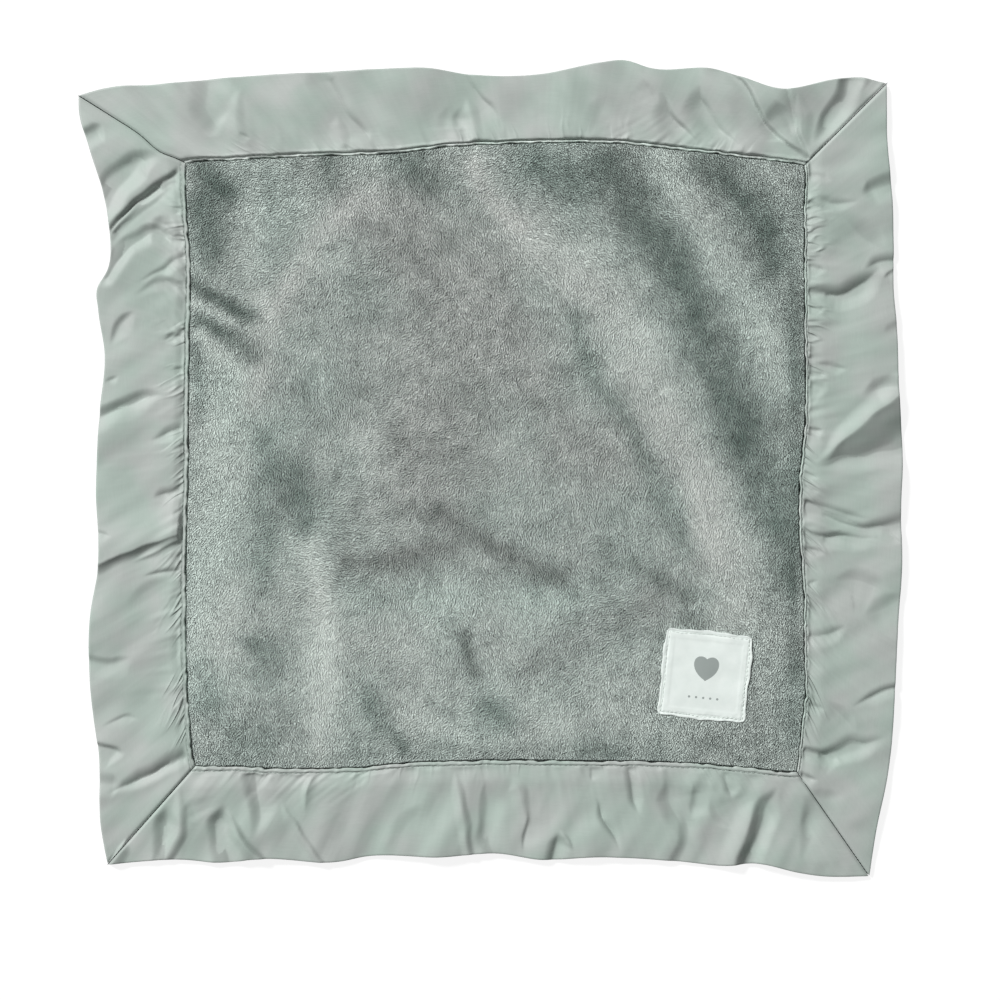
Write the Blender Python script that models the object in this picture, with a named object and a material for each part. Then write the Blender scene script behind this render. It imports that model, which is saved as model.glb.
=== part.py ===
# Comfort blanket: two plush panels bound by four folded satin strips with mitred corners.
# It lies flat, front up, as it does on a table. Sizes are in metres, and +Y is its top edge.

import functools
import math

import bmesh
import bpy
import numpy as np

# Plush panels
PANEL_WIDTH = 0.311
PANEL_LENGTH = 0.308  # between the seams, as the width
PILE_THICKNESS = 0.003
PINCHED_PILE = 0.0006  # plush squeezed flat in the seam
PINCH_REACH = 0.001  # flat plush that shows beside the satin's edge
PINCH_RUN = 0.006  # from the satin's edge in to the full pile
SEAM_ALLOWANCE = 0.010  # plush that runs on under the satin
PUFF = 0.0014  # most that the front panel rises between its seams

# Satin binding
BORDER_WIDTH = 0.0475  # from its inner edge to its outer fold
SATIN = 0.0004  # one layer
HEM_WIDTH = 0.008  # turned under along both inner edges
EDGE_ROLL = 0.0026  # height of the outer fold
FOLD_HEIGHT = 0.004  # a full fold over the leaf that it rises from
EDGE_LIFT = 0.004  # most that the outer fold leaves the table
MITRE_GAP = 0.0004  # between two strips at a mitre

# Threads
THREAD = 0.0004
STITCH_INSET = 0.0016  # from the satin's inner edge

# Sewn-on label
LABEL_SIDE = 0.0450
LABEL_THICKNESS = 0.0005
LABEL_INSET = 0.0018  # of its stitching from its edge
LABEL_WAVE = 0.0006  # how far its edges stray from straight
LABEL_TURN = math.radians(-6)
LABEL_PLACE_SHARES = (0.7035, -0.6838)  # its middle, of the panel's half width and half length
LABEL_FLAT_SHARE = 0.95  # radius of the flat plush round its middle, of its side

GAP = 0.0003  # between pieces that touch
TABLE_GAP = 0.0001  # under the lowest thread

# Counts
STATIONS = 33  # rings along a strip
THREAD_STATIONS = 17
MITRE_STATIONS = 5
PANEL_CELLS = 11  # between the pinched rims
LABEL_CELLS = 5
LABEL_WAVES = 1.5  # half waves along an edge of the label

# Heights that the layers stack up to at the seam
BOBBIN_Z = TABLE_GAP + THREAD / 2
BACK_BAND = TABLE_GAP + THREAD + GAP
BACK_BAND_TOP = BACK_BAND + 2 * SATIN
BACK_PINCH = BACK_BAND_TOP + GAP
FRONT_PINCH = BACK_PINCH + PINCHED_PILE + GAP
FRONT_BAND = FRONT_PINCH + PINCHED_PILE + GAP
FRONT_BAND_TOP = FRONT_BAND + 2 * SATIN
NEEDLE_Z = FRONT_BAND_TOP + GAP + THREAD / 2
FRONT_PANEL = PILE_THICKNESS + GAP
LABEL_Z = FRONT_PANEL + PILE_THICKNESS + GAP
HEM_SHARE = HEM_WIDTH / BORDER_WIDTH

# Inner corners, as shares of the panel's half sides, then the reach of each mitre from
# there to the outer corner, as shares of the border's width. The cloth lies a little skewed.
INNER_SHARES = {
    "top_left": (-0.999, 1.012),
    "top_right": (1.030, 1.005),
    "bottom_right": (1.005, -1.005),
    "bottom_left": (-0.969, -0.985),
}
REACH_SHARES = {
    "top_left": (-1.160, 0.730),
    "top_right": (0.886, 0.880),
    "bottom_right": (0.783, -1.126),
    "bottom_left": (-0.945, -1.063),
}
SIDES = {
    "top": ("top_left", "top_right"),
    "right": ("top_right", "bottom_right"),
    "bottom": ("bottom_right", "bottom_left"),
    "left": ("bottom_left", "top_left"),
}

# How the inner and outer edges stray from the straight line between their corners:
# (share of the way along, outward share of the border's width), clockwise round the blanket.
SEAM_SHARES = {
    "top": [(0, 0), (0.11, 0.045), (0.22, 0.08), (0.35, 0.115), (0.43, 0.185), (0.52, 0.215),
            (0.70, 0.22), (0.80, 0.157), (0.90, 0.08), (1, 0)],
    "right": [(0, 0), (0.17, 0.01), (0.32, 0.03), (0.42, 0.035), (0.53, -0.016), (0.60, -0.01),
              (0.69, 0.04), (0.78, 0.06), (0.87, 0.076), (0.94, 0.035), (1, 0)],
    "bottom": [(0, 0), (0.06, -0.03), (0.17, -0.085), (0.33, -0.10), (0.55, -0.088),
               (0.63, -0.067), (0.73, -0.006), (0.83, 0.02), (0.93, 0), (1, 0)],
    "left": [(0, 0), (0.08, 0.053), (0.16, 0.07), (0.24, 0.073), (0.39, 0.048), (0.50, 0.02),
             (0.63, 0.004), (0.78, -0.027), (0.86, -0.026), (0.92, 0), (1, 0)],
}
EDGE_SHARES = {
    "top": [(0, 0), (0.03, 0.07), (0.10, 0.105), (0.15, 0.14), (0.22, 0.185), (0.30, 0.21),
            (0.37, 0.23), (0.435, 0.23), (0.49, 0.155), (0.58, 0.16), (0.645, 0.26),
            (0.676, 0.285), (0.707, 0.20), (0.79, 0.177), (0.82, 0.09), (0.868, -0.05),
            (0.93, 0.04), (0.967, 0.07), (1, 0)],
    "right": [(0, 0), (0.085, 0.026), (0.135, 0.078), (0.21, 0.114), (0.26, 0.122),
              (0.31, 0.164), (0.39, 0.20), (0.46, 0.257), (0.525, 0.246), (0.61, 0.273),
              (0.69, 0.244), (0.765, 0.226), (0.865, 0.18), (0.94, 0.064), (1, 0)],
    "bottom": [(0, 0), (0.066, 0), (0.092, -0.03), (0.144, -0.12), (0.197, -0.092),
               (0.25, -0.13), (0.36, -0.165), (0.433, -0.127), (0.485, -0.185),
               (0.565, -0.142), (0.66, -0.13), (0.695, -0.072), (0.80, -0.09),
               (0.852, -0.041), (0.904, -0.066), (1, 0)],
    "left": [(0, 0), (0.045, 0.05), (0.15, 0.05), (0.19, 0.09), (0.33, 0.069), (0.39, -0.03),
             (0.487, -0.033), (0.59, -0.108), (0.66, -0.18), (0.72, -0.128), (0.747, -0.126),
             (0.773, -0.25), (0.825, -0.285), (0.877, -0.22), (0.93, -0.10), (0.98, 0), (1, 0)],
}

# Main folds in each front leaf: start (along, across), end (along, across), half width as a
# share of the border's width, and height as a share of FOLD_HEIGHT
FOLD_SHARES = {
    "top": [
        (0.080, 0.85, 0.120, 0.30, 0.30, 0.35),
        (0.303, 0.95, 0.307, 0.20, 0.20, 0.35),
        (0.395, 0.95, 0.400, 0.25, 0.22, 0.45),
        (0.470, 1.00, 0.495, 0.30, 0.14, 0.55),
        (0.690, 0.90, 0.800, 0.15, 0.20, 0.60),
        (0.780, 1.00, 0.860, 0.40, 0.18, 0.55),
        (0.845, 0.95, 0.930, 0.25, 0.16, 0.80),
        (0.930, 0.90, 0.955, 0.35, 0.16, 0.50),
    ],
    "right": [
        (0.075, 0.90, 0.110, 0.30, 0.22, 0.40),
        (0.225, 0.20, 0.205, 0.95, 0.24, 0.70),
        (0.340, 0.35, 0.320, 0.95, 0.26, 0.45),
        (0.500, 0.25, 0.500, 1.00, 0.22, 0.90),
        (0.575, 0.15, 0.570, 0.95, 0.16, 0.80),
        (0.665, 0.40, 0.690, 0.95, 0.24, 0.45),
        (0.815, 0.35, 0.790, 0.95, 0.22, 0.60),
        (0.930, 0.35, 0.915, 0.95, 0.20, 0.35),
    ],
    "bottom": [
        (0.090, 0.30, 0.130, 0.95, 0.20, 0.80),
        (0.190, 0.25, 0.200, 0.95, 0.20, 0.55),
        (0.300, 0.30, 0.290, 0.95, 0.22, 0.60),
        (0.455, 0.20, 0.455, 0.95, 0.22, 0.55),
        (0.547, 0.20, 0.530, 0.95, 0.18, 0.75),
        (0.700, 0.30, 0.700, 0.95, 0.24, 0.45),
        (0.815, 0.20, 0.790, 0.98, 0.16, 0.70),
        (0.890, 0.30, 0.870, 0.95, 0.16, 0.60),
    ],
    "left": [
        (0.100, 0.30, 0.090, 0.95, 0.24, 0.55),
        (0.205, 0.30, 0.200, 0.95, 0.24, 0.50),
        (0.330, 0.25, 0.320, 0.95, 0.20, 0.60),
        (0.430, 0.20, 0.430, 0.95, 0.20, 0.70),
        (0.600, 0.25, 0.565, 0.98, 0.20, 0.45),
        (0.690, 0.30, 0.700, 0.95, 0.26, 0.60),
        (0.845, 0.25, 0.790, 0.90, 0.18, 0.80),
        (0.935, 0.30, 0.870, 0.90, 0.18, 0.90),
    ],
}

# Where the outer fold leaves the table: (share of the way along, share of EDGE_LIFT)
LIFT_SHARES = {
    "top": [(0, 0), (0.12, 0.2), (0.30, 0.1), (0.42, 0.5), (0.50, 0.2), (0.66, 0.7),
            (0.76, 0.2), (0.86, 1), (0.94, 0.4), (1, 0)],
    "right": [(0, 0), (0.10, 0.4), (0.20, 0.1), (0.34, 0.5), (0.43, 0.1), (0.52, 0.8),
              (0.62, 0.3), (0.76, 0.5), (0.88, 0.2), (1, 0)],
    "bottom": [(0, 0), (0.11, 0.7), (0.20, 0.2), (0.33, 0.6), (0.43, 0.2), (0.55, 0.7),
               (0.68, 0.1), (0.80, 0.6), (0.90, 0.3), (1, 0)],
    "left": [(0, 0), (0.10, 0.5), (0.20, 0.1), (0.32, 0.6), (0.45, 0.3), (0.60, 0.5),
             (0.70, 0.2), (0.80, 0.9), (0.90, 0.4), (1, 0)],
}

# Places in a strip's section, as shares of the way from its inner edge to its outer fold
FRONT_SHARES = (0.30, 0.44, 0.58, 0.72, 0.85, 0.95)
BACK_SHARES = (0.30, 0.62, 0.95)
ROLL_START_SHARE = 0.72  # where the front leaf starts to roll down to the fold
LIFT_START_SHARE = 0.30
FULL_FOLD_SHARE = 0.50  # where a fold has its full height
FLAT_END_SHARE = 0.06  # of a strip's length, over which its folds die away at a mitre
MITRE_SHARES = (0.30, 0.80)  # where a mitre's thread starts and ends, of the mitre's length

# Soft swellings of the front panel: middle (x, y) and radius as shares of its half width,
# then height as a share of PUFF
PUFF_SHARES = [
    (-0.45, 0.55, 0.40, 0.8),
    (0.15, 0.35, 0.35, 1.0),
    (0.72, 0.40, 0.30, 0.8),
    (-0.60, -0.25, 0.40, 0.6),
    (-0.10, -0.45, 0.35, 0.7),
    (0.25, -0.75, 0.30, 0.4),
]

# Linear colours
SATIN_COLOUR = (0.405, 0.456, 0.427, 1)
PLUSH_COLOUR = (0.290, 0.323, 0.301, 1)
LABEL_COLOUR = (0.680, 0.753, 0.708, 1)
THREAD_COLOUR = (0.275, 0.315, 0.292, 1)


def smooth_step(low, high, value):
    t = np.clip((value - low) / (high - low), 0, 1)
    return t * t * (3 - 2 * t)


def curve_through(table, at):
    """Reads a smooth curve through a table's points."""
    x, y = np.array(table, float).T
    slope = np.gradient(y, x)
    i = min(max(int(np.searchsorted(x, at)) - 1, 0), len(x) - 2)
    step = x[i + 1] - x[i]
    t = (at - x[i]) / step
    return (
        (2 * t**3 - 3 * t**2 + 1) * y[i]
        + (t**3 - 2 * t**2 + t) * step * slope[i]
        + (3 * t**2 - 2 * t**3) * y[i + 1]
        + (t**3 - t**2) * step * slope[i + 1]
    )


def inner_corner(corner):
    x, y = INNER_SHARES[corner]
    return np.array([x * PANEL_WIDTH / 2, y * PANEL_LENGTH / 2])


def outer_corner(corner):
    return inner_corner(corner) + BORDER_WIDTH * np.array(REACH_SHARES[corner])


def edge_place(side, corner_at, stray_shares, along):
    """A place in plan on the inner or outer edge of a side."""
    start, end = (corner_at(corner) for corner in SIDES[side])
    run = end - start
    outward = np.array([-run[1], run[0]]) / np.linalg.norm(run)
    stray = BORDER_WIDTH * curve_through(stray_shares[side], along)
    return start + run * along + outward * stray


def strip_place(side, along, across):
    """A place in plan on a strip, from its inner edge (across 0) to its outer fold (1)."""
    inner = edge_place(side, inner_corner, SEAM_SHARES, along)
    outer = edge_place(side, outer_corner, EDGE_SHARES, along)
    return inner + (outer - inner) * across


@functools.cache
def fold_lines(side):
    """Each fold's start and run in plan, its half width and its height."""
    lines = []
    for start_along, start_across, end_along, end_across, width, height in FOLD_SHARES[side]:
        start = strip_place(side, start_along, start_across)
        run = strip_place(side, end_along, end_across) - start
        lines.append((start, run, width * BORDER_WIDTH, height * FOLD_HEIGHT))
    return lines


def fold_rise(side, along, across):
    """How far the folds lift the front leaf. They die away at the seams."""
    here = strip_place(side, along, across)
    rise = 0
    for start, run, width, height in fold_lines(side):
        t = np.clip((here - start) @ run / (run @ run), 0, 1)
        away = np.linalg.norm(here - start - run * t) / width
        rise += height * math.exp(-(away**2))
    ends = smooth_step(0, FLAT_END_SHARE, along) * smooth_step(0, FLAT_END_SHARE, 1 - along)
    return rise * ends * smooth_step(HEM_SHARE, FULL_FOLD_SHARE, across)


def edge_lift(side, along, across):
    lift = EDGE_LIFT * max(curve_through(LIFT_SHARES[side], along), 0)
    return lift * smooth_step(LIFT_START_SHARE, 1, across)


def resting_height(across):
    """Top of a front leaf that has no folds."""
    return FRONT_BAND_TOP + (EDGE_ROLL - FRONT_BAND_TOP) * smooth_step(ROLL_START_SHARE, 1, across)


def front_height(side, along, across):
    return resting_height(across) + fold_rise(side, along, across) + edge_lift(side, along, across)


def back_height(side, along, across):
    """Underside of the back leaf, which lies on the table between its hem and the outer fold."""
    drop = smooth_step(HEM_SHARE, BACK_SHARES[0], across)
    return BACK_BAND * (1 - drop) + edge_lift(side, along, across)


def strip_section(side, along):
    """One closed section of a folded strip, as (across, height) pairs."""
    nose = (front_height(side, along, 1) + back_height(side, along, 1)) / 2
    outside = [(0, FRONT_BAND_TOP), (HEM_SHARE, FRONT_BAND_TOP)]
    outside += [(across, front_height(side, along, across)) for across in FRONT_SHARES]
    outside += [(1, nose)]
    outside += [(across, back_height(side, along, across)) for across in reversed(BACK_SHARES)]
    outside += [(HEM_SHARE, BACK_BAND), (0, BACK_BAND)]
    inside = [(0, BACK_BAND_TOP), (HEM_SHARE, BACK_BAND_TOP), (HEM_SHARE, BACK_BAND + SATIN)]
    inside += [(across, back_height(side, along, across) + SATIN) for across in BACK_SHARES]
    inside += [(1 - SATIN / BORDER_WIDTH, nose)]
    inside += [(across, front_height(side, along, across) - SATIN) for across in reversed(FRONT_SHARES)]
    inside += [(HEM_SHARE, FRONT_BAND + SATIN), (HEM_SHARE, FRONT_BAND), (0, FRONT_BAND)]
    return outside + inside


def make_material(name, colour, roughness):
    material = bpy.data.materials.new(name)
    material.use_nodes = True
    shader = material.node_tree.nodes["Principled BSDF"]
    shader.inputs["Base Color"].default_value = colour
    shader.inputs["Roughness"].default_value = roughness
    shader.inputs["Metallic"].default_value = 0
    return material


def add_object(name, data, material, parent):
    data.materials.append(material)
    made = bpy.data.objects.new(name, data)
    bpy.context.collection.objects.link(made)
    made.parent = parent
    return made


def mesh_from(name, bm):
    bmesh.ops.recalc_face_normals(bm, faces=bm.faces)
    mesh = bpy.data.meshes.new(name)
    bm.to_mesh(mesh)
    bm.free()
    mesh.shade_smooth()
    return mesh


def slab_mesh(name, bottom, top):
    """Closes two grids of places, listed alike as columns of rows, into one slab."""
    bm = bmesh.new()
    layers = [[[bm.verts.new(place) for place in column] for column in grid] for grid in (bottom, top)]
    columns, rows = len(bottom), len(bottom[0])
    for layer in layers:
        for i in range(columns - 1):
            for j in range(rows - 1):
                bm.faces.new((layer[i][j], layer[i + 1][j], layer[i + 1][j + 1], layer[i][j + 1]))
    rim = [(i, 0) for i in range(columns - 1)]
    rim += [(columns - 1, j) for j in range(rows - 1)]
    rim += [(i, rows - 1) for i in range(columns - 1, 0, -1)]
    rim += [(0, j) for j in range(rows - 1, 0, -1)]
    for (i, j), (k, m) in zip(rim, rim[1:] + rim[:1]):
        bm.faces.new((layers[0][i][j], layers[0][k][m], layers[1][k][m], layers[1][i][j]))
    return mesh_from(name, bm)


def make_strip(side, material, parent):
    """Lofts one binding strip along its side, from mitre to mitre."""
    name = "satin_border_" + side
    bm = bmesh.new()
    setback = MITRE_GAP * math.sqrt(0.5) / min(PANEL_WIDTH, PANEL_LENGTH)
    rings = []
    for along in np.linspace(setback, 1 - setback, STATIONS):
        section = strip_section(side, along)
        places = [(*strip_place(side, along, across), height) for across, height in section]
        rings.append([bm.verts.new(place) for place in places])
    for ring, following in zip(rings, rings[1:]):
        for i in range(len(ring)):
            bm.faces.new((ring[i - 1], ring[i], following[i], following[i - 1]))
    bm.faces.new(rings[0])
    bm.faces.new(rings[-1])
    add_object(name, mesh_from(name, bm), material, parent)


def panel_place(x_share, y_share):
    """A place of the plush in plan: both shares run from 0 to 1 between its curved seams."""
    low = edge_place("bottom", inner_corner, SEAM_SHARES, 1 - x_share)
    high = edge_place("top", inner_corner, SEAM_SHARES, x_share)
    left = edge_place("left", inner_corner, SEAM_SHARES, y_share)
    right = edge_place("right", inner_corner, SEAM_SHARES, 1 - y_share)
    low_chord = inner_corner("bottom_left") * (1 - x_share) + inner_corner("bottom_right") * x_share
    high_chord = inner_corner("top_left") * (1 - x_share) + inner_corner("top_right") * x_share
    chords = low_chord * (1 - y_share) + high_chord * y_share
    return low * (1 - y_share) + high * y_share + left * (1 - x_share) + right * x_share - chords


def panel_lines(length):
    """Grid lines as (share, outward step) pairs: the allowance, the seam, then even cells."""
    rim = PINCH_RUN / length
    cells = [(share, 0) for share in np.linspace(rim, 1 - rim, PANEL_CELLS + 1)]
    return [(0, -SEAM_ALLOWANCE), (0, PINCH_REACH), *cells, (1, -PINCH_REACH), (1, SEAM_ALLOWANCE)]


def label_middle():
    x, y = LABEL_PLACE_SHARES
    return np.array([x * PANEL_WIDTH / 2, y * PANEL_LENGTH / 2])


def puff_rise(place):
    """How far the front panel swells at a place. It lies flat round the label."""
    rise = 0
    half_width, half_length = PANEL_WIDTH / 2, PANEL_LENGTH / 2
    for x_share, y_share, reach_share, height_share in PUFF_SHARES:
        middle = np.array([x_share * half_width, y_share * half_length])
        away = np.linalg.norm(place - middle) / (reach_share * half_width)
        rise += PUFF * height_share * math.exp(-(away**2))
    from_label = np.linalg.norm(place - label_middle()) / LABEL_SIDE
    return rise * smooth_step(LABEL_FLAT_SHARE, 2 * LABEL_FLAT_SHARE, from_label)


def make_panel(name, full_low, pinched_low, puffs, material, parent):
    """A plush panel: full pile in the middle, pinched flat in the seam and under the satin."""
    x_lines, y_lines = panel_lines(PANEL_WIDTH), panel_lines(PANEL_LENGTH)
    bottom, top = [], []
    for x_share, x_step in x_lines:
        bottom_column, top_column = [], []
        for y_share, y_step in y_lines:
            place = panel_place(x_share, y_share) + np.array([x_step, y_step])
            if {x_share, y_share} & {0, 1}:
                low, high = pinched_low, pinched_low + PINCHED_PILE
            else:
                low, high = full_low, full_low + PILE_THICKNESS + puffs * puff_rise(place)
            bottom_column.append((*place, low))
            top_column.append((*place, high))
        bottom.append(bottom_column)
        top.append(top_column)
    add_object(name, slab_mesh(name, bottom, top), material, parent)


def make_thread(name, places, material, parent, closed=False):
    """A thread along places in space."""
    data = bpy.data.curves.new(name, "CURVE")
    data.dimensions = "3D"
    data.twist_mode = "Z_UP"
    data.bevel_depth = THREAD / 2
    data.bevel_resolution = 0
    data.use_fill_caps = True
    spline = data.splines.new("POLY")
    spline.points.add(len(places) - 1)
    for point, place in zip(spline.points, places):
        point.co = (*place, 1)
    spline.use_cyclic_u = closed
    return add_object(name, data, material, parent)


def make_topstitch(side, material, parent):
    """Needle thread on the front and bobbin thread on the back, along the hem."""
    setback = (STITCH_INSET + MITRE_GAP) / min(PANEL_WIDTH, PANEL_LENGTH)
    inset = STITCH_INSET / BORDER_WIDTH
    stations = np.linspace(setback, 1 - setback, THREAD_STATIONS)
    line = [strip_place(side, along, inset) for along in stations]
    for layer, height in (("front", NEEDLE_Z), ("back", BOBBIN_Z)):
        places = [(*place, height) for place in line]
        make_thread(f"{layer}_topstitch_{side}", places, material, parent)


def make_mitre_seam(corner, material, parent):
    """The threads that close a mitre, inside the binding against its two leaves."""
    start, end = inner_corner(corner), outer_corner(corner)
    clear = SATIN + GAP + THREAD / 2
    front, back = [], []
    for share in np.linspace(*MITRE_SHARES, MITRE_STATIONS):
        place = start + (end - start) * share
        front.append((*place, resting_height(share) - clear))
        back.append((*place, clear))
    make_thread("front_mitre_seam_" + corner, front, material, parent)
    make_thread("back_mitre_seam_" + corner, back, material, parent)


def label_outline(x_share, y_share, half_side):
    """A place on the flat label, from shares of its half side. Its edges wave a little."""
    bend_x = LABEL_WAVE * math.sin(math.pi * LABEL_WAVES * y_share) * x_share
    bend_y = LABEL_WAVE * math.cos(math.pi * LABEL_WAVES * x_share) * y_share
    return half_side * x_share + bend_x, half_side * y_share + bend_y


def make_label(label_material, thread_material, parent):
    """A square label, and the thread sewn round it."""
    shares = np.linspace(-1, 1, LABEL_CELLS + 1)
    grids = []
    for height in (0, LABEL_THICKNESS):
        grids.append([[(*label_outline(x, y, LABEL_SIDE / 2), height) for y in shares] for x in shares])
    label = add_object("sewn_label", slab_mesh("sewn_label", *grids), label_material, parent)
    ring = [(share, -1) for share in shares[:-1]]
    ring += [(1, share) for share in shares[:-1]]
    ring += [(share, 1) for share in reversed(shares[1:])]
    ring += [(-1, share) for share in reversed(shares[1:])]
    stitch_z = LABEL_THICKNESS + GAP + THREAD / 2
    places = [(*label_outline(x, y, LABEL_SIDE / 2 - LABEL_INSET), stitch_z) for x, y in ring]
    stitch = make_thread("label_stitch", places, thread_material, parent, closed=True)
    for piece in (label, stitch):
        piece.location = (*label_middle(), LABEL_Z)
        piece.rotation_euler.z = LABEL_TURN


def main():
    for old in list(bpy.data.objects):
        bpy.data.objects.remove(old)
    satin = make_material("satin", SATIN_COLOUR, 0.42)
    plush = make_material("plush", PLUSH_COLOUR, 0.95)
    label_cloth = make_material("label_cloth", LABEL_COLOUR, 0.60)
    thread = make_material("thread", THREAD_COLOUR, 0.55)
    blanket = bpy.data.objects.new("comfort_blanket", None)
    bpy.context.collection.objects.link(blanket)
    make_panel("back_plush_panel", 0, BACK_PINCH, False, plush, blanket)
    make_panel("front_plush_panel", FRONT_PANEL, FRONT_PINCH, True, plush, blanket)
    for side in SIDES:
        make_strip(side, satin, blanket)
        make_topstitch(side, thread, blanket)
    for corner in INNER_SHARES:
        make_mitre_seam(corner, thread, blanket)
    make_label(label_cloth, thread, blanket)


main()
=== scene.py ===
import math

import bpy
import numpy as np
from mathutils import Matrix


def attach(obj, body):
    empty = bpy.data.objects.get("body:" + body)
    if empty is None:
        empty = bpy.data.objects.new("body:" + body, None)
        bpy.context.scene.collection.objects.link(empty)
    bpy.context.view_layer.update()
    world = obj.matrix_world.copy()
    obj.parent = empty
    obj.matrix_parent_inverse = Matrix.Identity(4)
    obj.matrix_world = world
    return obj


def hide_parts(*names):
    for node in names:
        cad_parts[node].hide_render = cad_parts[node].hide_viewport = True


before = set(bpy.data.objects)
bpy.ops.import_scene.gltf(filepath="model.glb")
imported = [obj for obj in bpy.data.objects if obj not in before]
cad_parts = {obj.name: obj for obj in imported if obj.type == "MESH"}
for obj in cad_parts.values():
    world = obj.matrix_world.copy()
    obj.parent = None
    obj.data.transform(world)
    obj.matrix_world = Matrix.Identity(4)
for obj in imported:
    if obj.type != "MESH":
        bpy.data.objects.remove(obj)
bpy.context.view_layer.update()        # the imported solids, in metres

# A square comfort blanket: two plush panels in a folded satin binding with mitred corners.
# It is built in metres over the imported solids, front up, with +Y at its top edge.
mm = 0.001
print("solids loaded:", len(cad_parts))

# Plan of the blanket, as the solids have it
plan = {
    "panelWidth": 311 * mm,
    "panelLength": 308 * mm,
    "borderWidth": 47.5 * mm,
    "seamAllowance": 10 * mm,  # plush that runs on under the satin
    "mitreGap": 0.4 * mm,
    "seamWander": 0.35 * mm,
    "wanderSizes": (4.5 * mm, 11 * mm),
    "bendMiddle": (160, 147),  # in the photograph's pixels
    "bendReach": 9 * mm,
    "bend": (-0.6 * mm, -2.3 * mm),
    "innerShares": {
        "topLeft": (-0.999, 1.012), "topRight": (1.030, 1.005),
        "bottomRight": (1.005, -1.005), "bottomLeft": (-0.969, -0.985),
    },
    "reachShares": {
        "topLeft": (-1.160, 0.730), "topRight": (0.886, 0.880),
        "bottomRight": (0.783, -1.126), "bottomLeft": (-0.945, -1.063),
    },
    "sides": {
        "top": ("topLeft", "topRight"), "right": ("topRight", "bottomRight"),
        "bottom": ("bottomRight", "bottomLeft"), "left": ("bottomLeft", "topLeft"),
    },
}

# How the seams and the outer folds stray from straight: (share along, outward share of the border)
seamShares = {
    "top": [(0, 0), (0.11, 0.045), (0.22, 0.08), (0.35, 0.115), (0.43, 0.185), (0.52, 0.215),
            (0.70, 0.22), (0.80, 0.157), (0.90, 0.08), (1, 0)],
    "right": [(0, 0), (0.17, 0.01), (0.32, 0.03), (0.42, 0.035), (0.53, -0.016), (0.60, -0.01),
              (0.69, 0.04), (0.78, 0.06), (0.87, 0.076), (0.94, 0.035), (1, 0)],
    "bottom": [(0, 0), (0.06, -0.03), (0.17, -0.085), (0.33, -0.10), (0.55, -0.088),
               (0.63, -0.067), (0.73, -0.006), (0.83, 0.02), (0.93, 0), (1, 0)],
    "left": [(0, 0), (0.08, 0.053), (0.16, 0.07), (0.24, 0.073), (0.39, 0.048), (0.50, 0.02),
             (0.63, 0.004), (0.78, -0.027), (0.86, -0.026), (0.92, 0), (1, 0)],
}
edgeShares = {
    "top": [(0, 0), (0.03, 0.07), (0.10, 0.105), (0.15, 0.14), (0.22, 0.185), (0.30, 0.21),
            (0.37, 0.23), (0.435, 0.23), (0.49, 0.155), (0.58, 0.16), (0.645, 0.26),
            (0.676, 0.285), (0.707, 0.20), (0.79, 0.177), (0.82, 0.09), (0.868, -0.05),
            (0.93, 0.04), (0.967, 0.07), (1, 0)],
    "right": [(0, 0), (0.085, 0.026), (0.135, 0.078), (0.21, 0.114), (0.26, 0.122),
              (0.31, 0.164), (0.39, 0.20), (0.46, 0.257), (0.525, 0.246), (0.61, 0.273),
              (0.69, 0.244), (0.765, 0.226), (0.865, 0.18), (0.94, 0.064), (1, 0)],
    "bottom": [(0, 0), (0.066, 0), (0.092, -0.03), (0.144, -0.12), (0.197, -0.092),
               (0.25, -0.13), (0.36, -0.165), (0.433, -0.127), (0.485, -0.185),
               (0.565, -0.142), (0.66, -0.13), (0.695, -0.072), (0.80, -0.09),
               (0.852, -0.041), (0.904, -0.066), (1, 0)],
    "left": [(0, 0), (0.045, 0.05), (0.15, 0.05), (0.19, 0.09), (0.33, 0.069), (0.39, -0.03),
             (0.487, -0.033), (0.59, -0.108), (0.66, -0.18), (0.72, -0.128), (0.747, -0.126),
             (0.773, -0.25), (0.825, -0.285), (0.877, -0.22), (0.93, -0.10), (0.98, 0), (1, 0)],
}
liftShares = {  # where the outer fold leaves the table
    "top": [(0, 0), (0.12, 0.2), (0.30, 0.1), (0.42, 0.5), (0.50, 0.2), (0.66, 0.7),
            (0.76, 0.2), (0.86, 1), (0.94, 0.4), (1, 0)],
    "right": [(0, 0), (0.10, 0.4), (0.20, 0.1), (0.34, 0.5), (0.43, 0.1), (0.52, 0.8),
              (0.62, 0.3), (0.76, 0.5), (0.88, 0.2), (1, 0)],
    "bottom": [(0, 0), (0.11, 0.7), (0.20, 0.2), (0.33, 0.6), (0.43, 0.2), (0.55, 0.7),
               (0.68, 0.1), (0.80, 0.6), (0.90, 0.3), (1, 0)],
    "left": [(0, 0), (0.10, 0.5), (0.20, 0.1), (0.32, 0.6), (0.45, 0.3), (0.60, 0.5),
             (0.70, 0.2), (0.80, 0.9), (0.90, 0.4), (1, 0)],
}

# The photograph's scale, for folds and shading that are placed by its pixels
picture = {"pixel": 0.51 * mm, "middle": (490.5, 468.5)}


def fromPicture(places):
    places = np.asarray(places, float)
    x = (places[:, 0] - picture["middle"][0]) * picture["pixel"]
    y = (picture["middle"][1] - places[:, 1]) * picture["pixel"]
    return np.stack([x, y], axis=1)


def smoothStep(low, high, value):
    t = np.clip((value - low) / (high - low), 0, 1)
    return t * t * (3 - 2 * t)


def curveThrough(table, at):
    x, y = np.array(table, float).T
    slope = np.gradient(y, x)
    i = np.clip(np.searchsorted(x, at) - 1, 0, len(x) - 2)
    step = x[i + 1] - x[i]
    t = (at - x[i]) / step
    return (
        (2 * t**3 - 3 * t**2 + 1) * y[i]
        + (t**3 - 2 * t**2 + t) * step * slope[i]
        + (3 * t**2 - 2 * t**3) * y[i + 1]
        + (t**3 - t**2) * step * slope[i + 1]
    )


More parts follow.
